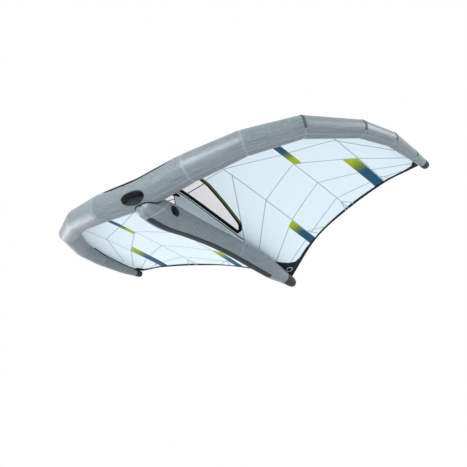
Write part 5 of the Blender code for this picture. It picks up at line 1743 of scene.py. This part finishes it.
@dataclass
class StrutTrim:
    """Web, webbing keel, valve flange and tail cap: everything sewn or fitted to the strut."""

    strut: StrutShape
    canopy: CanopyShape
    wardrobe: Wardrobe
    keel_front: float = 168 * MM
    keel_rear: float = 1678 * MM
    keel_half_width: float = 28 * MM
    keel_thickness: float = 2.0 * MM
    keel_stand: float = 1.3 * MM
    keel_rounding: float = 22 * MM
    keel_step: float = 10 * MM
    keel_end_steps: int = 8
    keel_end_skip: int = 3
    keel_columns: int = 12
    web_front: float = 467 * MM
    web_lean: float = 22 * MM
    web_rear: float = 1860 * MM
    web_thickness: float = 1.0 * MM
    web_gap: float = 1.2 * MM
    web_billow: float = 2.0 * MM
    web_foot_stand: float = 0.2 * MM
    web_middle_reach: float = 0.1 * MM
    web_steps: int = 120
    web_rows: int = 24
    web_flat: tuple[float, float] = (190 * MM, 1440 * MM)
    tape_thickness: float = 2.6 * MM
    tape_fold: float = 6 * MM
    corner_length: float = 75 * MM
    corner_height: float = 42 * MM
    corner_taper_share: float = 0.55
    corner_steps: int = 8
    corner_guide: int = 5
    flange_radius: float = 37 * MM
    flange_stretch: float = 1.12
    flange_point: float = 9 * MM
    flange_point_power: int = 4
    flange_thickness: float = 1.5 * MM
    flange_stand: float = 1.2 * MM
    hinge_direction: float = math.radians(-40)
    socket_radius: float = 20 * MM
    flange_sides: int = 72
    flange_rings: int = 6
    cap_start: float = 1896 * MM
    cap_length: float = 164 * MM
    cap_drop: float = 20 * MM
    cap_shares: tuple[float, ...] = (0.0, 0.33, 0.65, 0.85, 0.95, 1.0)
    cap_radius_shares: tuple[float, ...] = (1.0, 0.92, 0.84, 0.72, 0.54, 0.15)
    cap_drop_shares: tuple[float, ...] = (0.0, 0.15, 0.5, 0.75, 0.9, 1.0)
    cap_stand: float = 1.0 * MM
    cap_least_radius: float = 1.0 * MM
    cap_steps: int = 10
    cap_sides: int = 64

    def build_keel(self) -> Piece:
        """Make the webbing strip along the underside of the strut, with rounded ends."""
        steps = math.ceil((self.keel_rear - self.keel_front) / self.keel_step)
        length = self.keel_rear - self.keel_front
        even = [self.keel_front + length * step / steps for step in range(steps + 1)]
        ends = [self.keel_rounding * (step / self.keel_end_steps) ** 2 for step in range(self.keel_end_steps)]
        setbacks = ([self.keel_front + end for end in ends] + even[self.keel_end_skip:-self.keel_end_skip]
                    + [self.keel_rear - end for end in reversed(ends)])
        points = []
        places = []
        for setback in setbacks:
            away = min(setback - self.keel_front, self.keel_rear - setback)
            half = self.keel_half_width * end_taper(away, self.keel_rounding)
            for column in range(self.keel_columns + 1):
                across = half * (2 * column / self.keel_columns - 1.0)
                angle = FULL_TURN / 2 + across / self.strut.read(self.strut.radii, setback)
                points.append(self.strut.point(setback, angle, self.keel_stand))
                places.append((across, setback, 0.0))
        size = (len(setbacks), self.keel_columns + 1, 3)
        mesh = cloth_mesh("keel_webbing_strip", np.array(points).reshape(size), np.array(places))
        piece = add_piece("keel_webbing_strip", mesh, self.wardrobe.get("keel"),
                          ("keel_strip",))
        thicken(piece, self.keel_thickness)
        return piece

    def web_point(self, run: float, rise: float) -> np.ndarray:
        """Point of the web.

        Args:
            run: share of the way from its front edge to its rear.
            rise: share of the way from the strut up to the canopy.

        Returns:
            The point, a little off the middle plane where the cloth billows.
        """
        low = self.web_front + (self.web_rear - self.web_front) * run
        high = self.web_front - self.web_lean + (self.web_rear - self.web_front + self.web_lean) * run
        bottom = self.strut.point(low, 0.0, self.web_foot_stand)[2]
        top = self.canopy.over(self.web_middle_reach, high)[0][2] - self.web_gap
        side = self.web_billow * math.sin(math.pi * run) * math.sin(math.pi * rise)
        return np.array((side, low + (high - low) * rise, bottom + (top - bottom) * rise))

    def build_web(self) -> Piece:
        """Make the cloth web between the strut and the canopy."""
        points = []
        for step in range(self.web_steps + 1):
            for row in range(self.web_rows + 1):
                points.append(self.web_point(step / self.web_steps, row / self.web_rows))
        grid = np.array(points).reshape(self.web_steps + 1, self.web_rows + 1, 3)
        mesh = cloth_mesh("strut_web_cloth", grid, grid[:, :, (2, 1, 0)])
        piece = add_piece("strut_web_cloth", mesh, self.wardrobe.get("web"), ("strut_web",))
        thicken(piece, self.web_thickness)
        return piece

    def build_web_tape(self) -> Piece:
        """Make the dark tape folded over the web's front edge, and its corner patch."""
        first = self.web_point(0.0, 1.0)
        guide = self.web_point(self.corner_guide / self.web_steps, 1.0)
        slope = (guide - first) / (guide - first)[1]
        up = np.array((0.0, 0.0, 1.0))
        corner = []
        for step in range(self.corner_steps + 1):
            share = step / self.corner_steps
            top = first + slope * share * self.corner_length
            deep = self.corner_height * (1.0 - self.corner_taper_share * share)
            corner.append((top - up * self.web_gap, top - up * deep))
        fold = np.array((0.0, self.tape_fold, 0.0))
        front = [self.web_point(0.0, row / self.web_rows) for row in range(self.web_rows + 1)]
        joined = bmesh.new()
        for index, grid in enumerate((np.array(corner), np.array([(spot, spot + fold) for spot in front]))):
            joined.from_mesh(cloth_mesh(f"web_tape_{index}", grid, grid))
        whole = bpy.data.meshes.new("web_edge_tape")
        joined.to_mesh(whole)
        joined.free()
        piece = add_piece("web_edge_tape", whole, self.wardrobe.get("binding"),
                          ("web_binding",))
        thicken(piece, self.tape_thickness)
        return piece

    def build_flange(self) -> Piece:
        """Make the pear-shaped flange that holds the valve, pressed to the strut's skin."""
        rings = []
        for ring in range(self.flange_rings + 1):
            share = ring / self.flange_rings
            row = []
            for side in range(self.flange_sides):
                angle = FULL_TURN * side / self.flange_sides
                point = max(math.cos(angle - self.hinge_direction), 0.0) ** self.flange_point_power
                outer = self.flange_radius + self.flange_point * point
                reach = self.socket_radius + (outer - self.socket_radius) * share
                setback = VALVE_CENTRE[0] + reach * math.cos(angle) * self.flange_stretch
                height = VALVE_CENTRE[1] + reach * math.sin(angle)
                radius = self.strut.read(self.strut.radii, setback)
                lift = (height - self.strut.read(self.strut.heights, setback)) / radius
                row.append(self.strut.point(setback, math.acos(lift), self.flange_stand))
            rings.append(row)
        grid = np.array(rings)
        mesh = ring_mesh("valve_flange_pressed", grid, grid, (False, False))
        piece = add_piece("valve_flange_pressed", mesh, self.wardrobe.get("plastic"),
                          ("valve_flange",))
        thicken(piece, self.flange_thickness)
        return piece

    def build_tail_cap(self) -> Piece:
        """Make the moulded cap that closes the strut's tail."""
        end = self.strut.setbacks[-1]
        radius = self.strut.radii[-1] + self.cap_stand
        height = self.strut.heights[-1]
        rings = []
        count = (len(self.cap_shares) - 1) * self.cap_steps
        for step in range(count + 1):
            position = step / self.cap_steps
            size = max(radius * cubic_at(self.cap_radius_shares, position), self.cap_least_radius)
            setback = self.cap_start + self.cap_length * cubic_at(self.cap_shares, position)
            middle = height - self.cap_drop * cubic_at(self.cap_drop_shares, position)
            if setback < end:
                size = radius
            rings.append([(size * math.sin(FULL_TURN * side / self.cap_sides), setback,
                           middle + size * math.cos(FULL_TURN * side / self.cap_sides))
                          for side in range(self.cap_sides)])
        grid = np.array(rings)
        mesh = ring_mesh("strut_tail_cap_moulded", grid, grid, (False, True))
        return add_piece("strut_tail_cap_moulded", mesh, self.wardrobe.get("rubber"),
                         ("strut_tail_cap",))

    def build(self) -> None:
        """Make every piece on the strut."""
        self.build_keel()
        self.build_web()
        self.build_web_tape()
        self.build_flange()
        self.build_tail_cap()


@dataclass
class EdgeTrim:
    """Scuff strips, centre patch and tip caps on the leading edge."""

    tube: TubeShape
    wardrobe: Wardrobe
    strip_joints: tuple[int, ...] = (3, 4, 5, 6)
    strip_half_width: float = 9 * MM
    strip_start: float = math.radians(-138)
    strip_end: float = math.radians(7)
    strip_rounding: float = math.radians(16)
    strip_thickness: float = 1.0 * MM
    strip_stand: float = 1.4 * MM
    strip_columns: int = 40
    strip_rows: int = 3
    band_start: float = math.radians(-62)
    band_end: float = math.radians(22)
    band_share: float = 0.96
    band_least_angle: float = 0.25
    band_thickness: float = 1.0 * MM
    band_rows: int = 40
    cap_sleeve: float = 72 * MM
    cap_dome: float = 15 * MM
    cap_wall: float = 2.0 * MM
    cap_lip: float = 2.5 * MM
    cap_edge: float = 0.4 * MM
    cap_steps: int = 14
    cap_sides: int = 48

    def build_strip(self, joint: int, side: Side) -> Piece:
        """Make one scuff strip over a ring seam.

        Args:
            joint: number of the ring seam from the middle plane.
            side: half of the wing.

        Returns:
            The strip.
        """
        rows = []
        for row in range(-self.strip_rows, self.strip_rows + 1):
            line = []
            for column in range(self.strip_columns + 1):
                angle = self.strip_start + (self.strip_end - self.strip_start) * column / self.strip_columns
                near = min(angle - self.strip_start, self.strip_end - angle)
                half = self.strip_half_width * end_taper(near, self.strip_rounding)
                away = half * row / self.strip_rows
                panel = joint if away > 0.0 else joint - 1
                position = joint + away / self.tube.length(panel)
                line.append(self.tube.ring(position, np.array((angle,)), self.strip_stand)[0])
            rows.append(line)
        grid = on_side(np.array(rows), side)
        mesh = cloth_mesh(f"scuff_patch_{joint}_{side.word}", grid, grid)
        piece = add_piece(f"scuff_patch_{joint}_{side.word}", mesh, self.wardrobe.get("scuff"),
                          (f"scuff_strip_{joint}_{side.word}",))
        thicken(piece, self.strip_thickness)
        return piece

    def build_band(self) -> Piece:
        """Make the wear patch along the top of the middle panel."""
        right = []
        for row in range(self.band_rows + 1):
            share = self.band_share * row / self.band_rows
            length = self.tube.length(0)
            width = end_taper((self.band_share - share) * length, self.band_share * length / 2)
            narrow = self.band_end - self.band_least_angle
            start = narrow + (self.band_start - narrow) * width
            angles = np.linspace(start, self.band_end, self.strip_columns + 1)
            right.append(self.tube.ring(share, angles, self.tube.swell + self.band_thickness))
        grid = both_halves(np.array(right))
        mesh = cloth_mesh("centre_wear_patch", grid, grid)
        piece = add_piece("centre_wear_patch", mesh, self.wardrobe.get("binding"),
                          ("le_centre_patch",))
        thicken(piece, self.band_thickness)
        return piece

    def build_tip_cap(self, side: Side) -> Piece:
        """Make the moulded cap on one tip of the leading edge."""
        last = self.tube.panels
        angles = np.linspace(0.0, FULL_TURN, self.cap_sides + 1)[:-1]
        length = self.tube.length(last - 1)
        direction = self.tube.directions[-1]
        full = float(self.tube.radii[-1]) + self.cap_wall
        rings = [self.tube.ring(last - self.cap_sleeve / length, angles, self.cap_edge),
                 self.tube.ring(last - (self.cap_sleeve - self.cap_lip) / length, angles, self.cap_wall)]
        for step in range(self.cap_steps):
            turn = FULL_TURN / 4 * step / self.cap_steps
            ring = self.tube.ring(float(last), angles, full * math.cos(turn) - float(self.tube.radii[-1]))
            rings.append(ring + direction * self.cap_dome * math.sin(turn))
        grid = on_side(np.array(rings), side)
        mesh = ring_mesh(f"tip_cap_moulded_{side.word}", grid, grid, (False, True))
        return add_piece(f"tip_cap_moulded_{side.word}", mesh, self.wardrobe.get("rubber"),
                         (f"le_tip_cap_{side.word}",))

    def build(self) -> None:
        """Make every piece on the leading edge."""
        self.build_band()
        for side in Side:
            self.build_tip_cap(side)
            for joint in self.strip_joints:
                self.build_strip(joint, side)


@dataclass
class Handle:
    """Front handle: oval patch, stitched ends and the padded grip."""

    tube: TubeShape
    wardrobe: Wardrobe
    angle: float = math.radians(-129)
    offset: float = -24 * MM
    half_length: float = 100 * MM
    half_width: float = 51 * MM
    patch_stand: float = 2.2 * MM
    patch_thickness: float = 1.4 * MM
    patch_rings: int = 10
    patch_sides: int = 72
    patch_middle_share: float = 0.02
    grip_reach: float = 94 * MM
    grip_stand: float = 26 * MM
    grip_lean: float = 22 * MM
    grip_half_width: float = 15.5 * MM
    grip_half_thickness: float = 5.5 * MM
    grip_gap: float = 2.6 * MM
    grip_steps: int = 56
    grip_sides: int = 32
    arch_power: float = 0.8
    grip_end_share: float = 0.35
    grip_end_thickness_share: float = 0.45
    grip_end_width_share: float = 0.85
    flat_power: float = 0.7
    crown_power: float = 0.9
    end_length: float = 32 * MM
    end_half_width: float = 15 * MM
    end_stand: float = 1.6 * MM
    end_thickness: float = 1.2 * MM
    end_steps: int = 6
    end_columns: int = 8

    def point(self, reach: float, across: float, stand: float) -> np.ndarray:
        """Point over the leading edge near the handle.

        Args:
            reach: distance along the tube from the handle's middle, positive to the right.
            across: distance around the tube.
            stand: height over the tube.

        Returns:
            The point.
        """
        reach += self.offset
        share = abs(reach) / self.tube.length(0)
        angle = self.angle + across / float(self.tube.radii[0])
        place = self.tube.ring(share, np.array((angle,)), stand)[0]
        return place * np.array((math.copysign(1.0, reach), 1.0, 1.0))

    def build_patch(self) -> Piece:
        """Make the oval patch under the grip, standing a little off the tube."""
        rings = []
        places = []
        for ring in range(self.patch_rings + 1):
            size = max(ring / self.patch_rings, self.patch_middle_share)
            row = []
            for side in range(self.patch_sides):
                angle = FULL_TURN * side / self.patch_sides
                reach = self.half_length * size * math.cos(angle)
                across = self.half_width * size * math.sin(angle)
                row.append(self.point(reach, across, self.patch_stand))
                places.append((reach, across, 0.0))
            rings.append(row)
        mesh = ring_mesh("handle_oval_patch", np.array(rings), np.array(places), (True, False))
        piece = add_piece("handle_oval_patch", mesh, self.wardrobe.get("keel"),
                          ("handle_patch",))
        thicken(piece, self.patch_thickness)
        return piece

    def build_end(self, side: Side) -> Piece:
        """Make the stitched end of the webbing under one end of the grip."""
        rows = []
        stand = self.patch_stand + self.end_stand
        for step in range(self.end_steps + 1):
            reach = side.value * (self.grip_reach - self.end_length * step / self.end_steps)
            rows.append([self.point(reach, self.end_half_width * (2 * column / self.end_columns - 1.0), stand)
                         for column in range(self.end_columns + 1)])
        grid = np.array(rows)
        title = f"handle_stitched_end_{side.word}"
        mesh = cloth_mesh(title, grid, grid)
        piece = add_piece(title, mesh, self.wardrobe.get("binding"),
                          (f"handle_anchor_{side.word}",))
        thicken(piece, self.end_thickness)
        return piece

    def build_grip(self) -> Piece:
        """Make the padded grip that arches over the patch."""
        rings = []
        places = []
        floor = self.patch_stand + self.grip_gap
        for step in range(self.grip_steps + 1):
            along = 2 * step / self.grip_steps - 1.0
            arch = max(1.0 - along * along, 0.0) ** self.arch_power
            lack = 1.0 - min(arch / self.grip_end_share, 1.0)
            thick = self.grip_half_thickness * (1.0 - (1.0 - self.grip_end_thickness_share) * lack)
            wide = self.grip_half_width * (1.0 - (1.0 - self.grip_end_width_share) * lack)
            rise = floor + thick + self.grip_stand * arch
            row = []
            for side in range(self.grip_sides):
                angle = FULL_TURN * side / self.grip_sides
                flat = math.copysign(abs(math.cos(angle)) ** self.flat_power, math.cos(angle))
                crown = math.copysign(abs(math.sin(angle)) ** self.crown_power, math.sin(angle))
                across = self.grip_lean * arch + wide * flat
                row.append(self.point(self.grip_reach * along, across, rise + thick * crown))
                places.append((self.grip_reach * along, wide * angle, 0.0))
            rings.append(row)
        mesh = ring_mesh("handle_padded_grip", np.array(rings), np.array(places), (True, True))
        return add_piece("handle_padded_grip", mesh, self.wardrobe.get("neoprene"),
                         ("handle_grip",))

    def build(self) -> None:
        """Make the handle."""
        self.build_patch()
        for side in Side:
            self.build_end(side)
        self.build_grip()


@dataclass
class Studio:
    """Pale floor, soft lights and the camera at the photograph's angle."""

    floor_size: float = 120 * METRE
    floor_drop: float = 8 * METRE
    floor_colour: str = "f2f3f4"
    floor_roughness: float = 0.9
    focal_length: float = 53.96
    sensor_width: float = 36.0
    camera_place: tuple[float, float, float] = (3006.035 * MM, -3053.864 * MM, -2330.156 * MM)
    camera_right: tuple[float, float, float] = (0.7948857, 0.60297286, -0.06767909)
    camera_up: tuple[float, float, float] = (0.30710412, -0.30361197, 0.90194614)
    camera_back: tuple[float, float, float] = (0.52330086, -0.73772861, -0.42651226)
    bright_side: tuple[float, float, float] = (-0.6, -0.6, 0.53)
    dim_strength: float = 0.58
    bright_strength: float = 1.04
    lamp_size: float = 2.2 * METRE
    # Name, watts and place of each soft box.
    lamps: tuple[tuple[str, float, tuple[float, float, float]], ...] = (
        ("front_box", 205.0, (0.2 * METRE, -5.5 * METRE, 0.9 * METRE)),
        ("left_box", 74.0, (-5.2 * METRE, -0.3 * METRE, -0.5 * METRE)),
        ("right_box", 135.0, (5.2 * METRE, 1.2 * METRE, 1.8 * METRE)),
        ("low_box", 48.0, (2.4 * METRE, -0.6 * METRE, -5.4 * METRE)),
    )

    def build_camera(self) -> None:
        """Place the camera where the photograph was taken."""
        data = bpy.data.cameras.new("camera")
        data.sensor_width = self.sensor_width
        data.lens = self.focal_length
        camera = bpy.data.objects.new("camera", data)
        bpy.context.scene.collection.objects.link(camera)
        turn = Matrix((self.camera_right, self.camera_up, self.camera_back)).transposed()
        place = Vector(self.camera_place) + Vector(WING_SHIFT)
        camera.matrix_world = Matrix.Translation(place) @ turn.to_4x4()
        bpy.context.scene.camera = camera

    def build_floor(self) -> None:
        """Lay the pale floor under the wing, below the low camera."""
        half = self.floor_size / 2
        mesh = bpy.data.meshes.new("studio_floor")
        corners = [(-half, -half), (half, -half), (half, half), (-half, half)]
        mesh.from_pydata([(x, y, -self.floor_drop) for x, y in corners], [], [(0, 1, 2, 3)])
        material, _, shader = start_material("floor_paper", {"Roughness": self.floor_roughness})
        shader.inputs["Base Color"].default_value = linear_colour(self.floor_colour)
        mesh.materials.append(material)
        floor = bpy.data.objects.new("studio_floor", mesh)
        bpy.context.scene.collection.objects.link(floor)

    def build_lights(self) -> None:
        """Light the wing softly, a little brighter from the front left, and show white behind it."""
        world = bpy.data.worlds.new("studio")
        bpy.context.scene.world = world
        world.use_nodes = True
        tree = world.node_tree
        tree.nodes.clear()
        way = add_node(tree, "ShaderNodeTexCoord").outputs["Generated"]
        facing = add_node(tree, "ShaderNodeVectorMath", {1: self.bright_side}, {0: way},
                          operation="DOT_PRODUCT")
        level = stretched_value(tree, facing.outputs["Value"], -1.0, 1.0, self.dim_strength,
                                self.bright_strength)
        soft = add_node(tree, "ShaderNodeBackground", {"Color": WHITE}, {"Strength": level})
        white = add_node(tree, "ShaderNodeBackground", {"Color": WHITE, "Strength": 1.0})
        path = add_node(tree, "ShaderNodeLightPath")
        shown = path.outputs["Is Camera Ray"]
        for ray in ("Is Glossy Ray", "Is Transmission Ray"):
            shown = calculate(tree, "MAXIMUM", shown, path.outputs[ray])
        mixed = add_node(tree, "ShaderNodeMixShader",
                         links={0: shown, 1: soft.outputs[0], 2: white.outputs[0]})
        add_node(tree, "ShaderNodeOutputWorld", links={"Surface": mixed.outputs[0]})
        for name, power, place in self.lamps:
            data = bpy.data.lights.new(name, "AREA")
            data.energy = power
            data.size = self.lamp_size
            lamp = bpy.data.objects.new(name, data)
            bpy.context.scene.collection.objects.link(lamp)
            lamp.location = place
            lamp.rotation_mode = "QUATERNION"
            lamp.rotation_quaternion = (-Vector(place)).to_track_quat("-Z", "Y")
            lamp.visible_camera = False

    def build(self) -> None:
        """Set up the studio."""
        self.build_camera()
        self.build_floor()
        self.build_lights()
        bpy.context.scene.view_settings.view_transform = "Standard"


@dataclass
class ValveSpring:
    """Coil that holds the valve shut; it shortens when the stem is pressed in."""

    wardrobe: Wardrobe
    fixed_end: float = 97.497 * MM
    length: float = 6.6 * MM
    stem_travel: float = 3 * MM
    radius: float = 4.3 * MM
    wire: float = 0.45 * MM
    turns: int = 4
    steps: int = 24
    sides: int = 10

    def build(self) -> None:
        """Wind the coil around the stem."""
        rings = []
        count = self.turns * self.steps
        along = np.array((1.0, 0.0, 0.0))
        for step in range(count + 1):
            angle = FULL_TURN * step / self.steps
            outward = np.array((0.0, math.cos(angle), math.sin(angle)))
            run = self.fixed_end + self.wire + (self.length - 2 * self.wire) * step / count
            middle = np.array((run, *VALVE_CENTRE)) + outward * self.radius
            turns = [FULL_TURN * side / self.sides for side in range(self.sides)]
            rings.append([middle + self.wire * (outward * math.cos(turn) + along * math.sin(turn))
                          for turn in turns])
        grid = np.array(rings)
        mesh = ring_mesh("valve_spring_coil", grid, grid, (True, True))
        piece = add_piece("valve_spring_coil", mesh, self.wardrobe.get("steel"),
                          ("valve_spring",))
        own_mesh(piece)


@dataclass
class Fittings:
    """Solids that keep their shape and only get their real finish."""

    wardrobe: Wardrobe
    finishes: tuple[tuple[str, str], ...] = (
        ("bladder_hose", "hose"),
        ("valve_body", "plastic"),
        ("valve_cap", "plastic"),
        ("valve_stem", "plastic"),
        ("valve_hinge_pin", "steel"),
        ("clew_eyelet_left", "eyelet"),
        ("clew_eyelet_right", "eyelet"),
    )

    def build(self) -> None:
        """Dress the solids that stay."""
        for node, finish in self.finishes:
            self.dress(node, finish)

    def dress(self, node: str, finish: str) -> None:
        """Give one solid its finish."""
        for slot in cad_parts[node].material_slots:
            slot.material = self.wardrobe.get(finish)


def main() -> None:
    """Build the dressed wing."""
    logging.basicConfig(level=logging.INFO, format="%(message)s")
    wardrobe = Wardrobe()
    tube = TubeShape()
    strut = StrutShape()
    Casings(tube, strut, wardrobe).build()
    canopy = CanopyShape(tube)
    Canopy(canopy, wardrobe).build()
    StrutTrim(strut, canopy, wardrobe).build()
    EdgeTrim(tube, wardrobe).build()
    Handle(tube, wardrobe).build()
    ValveSpring(wardrobe).build()
    Fittings(wardrobe).build()
    Studio().build()


if __name__ == "__main__":
    main()
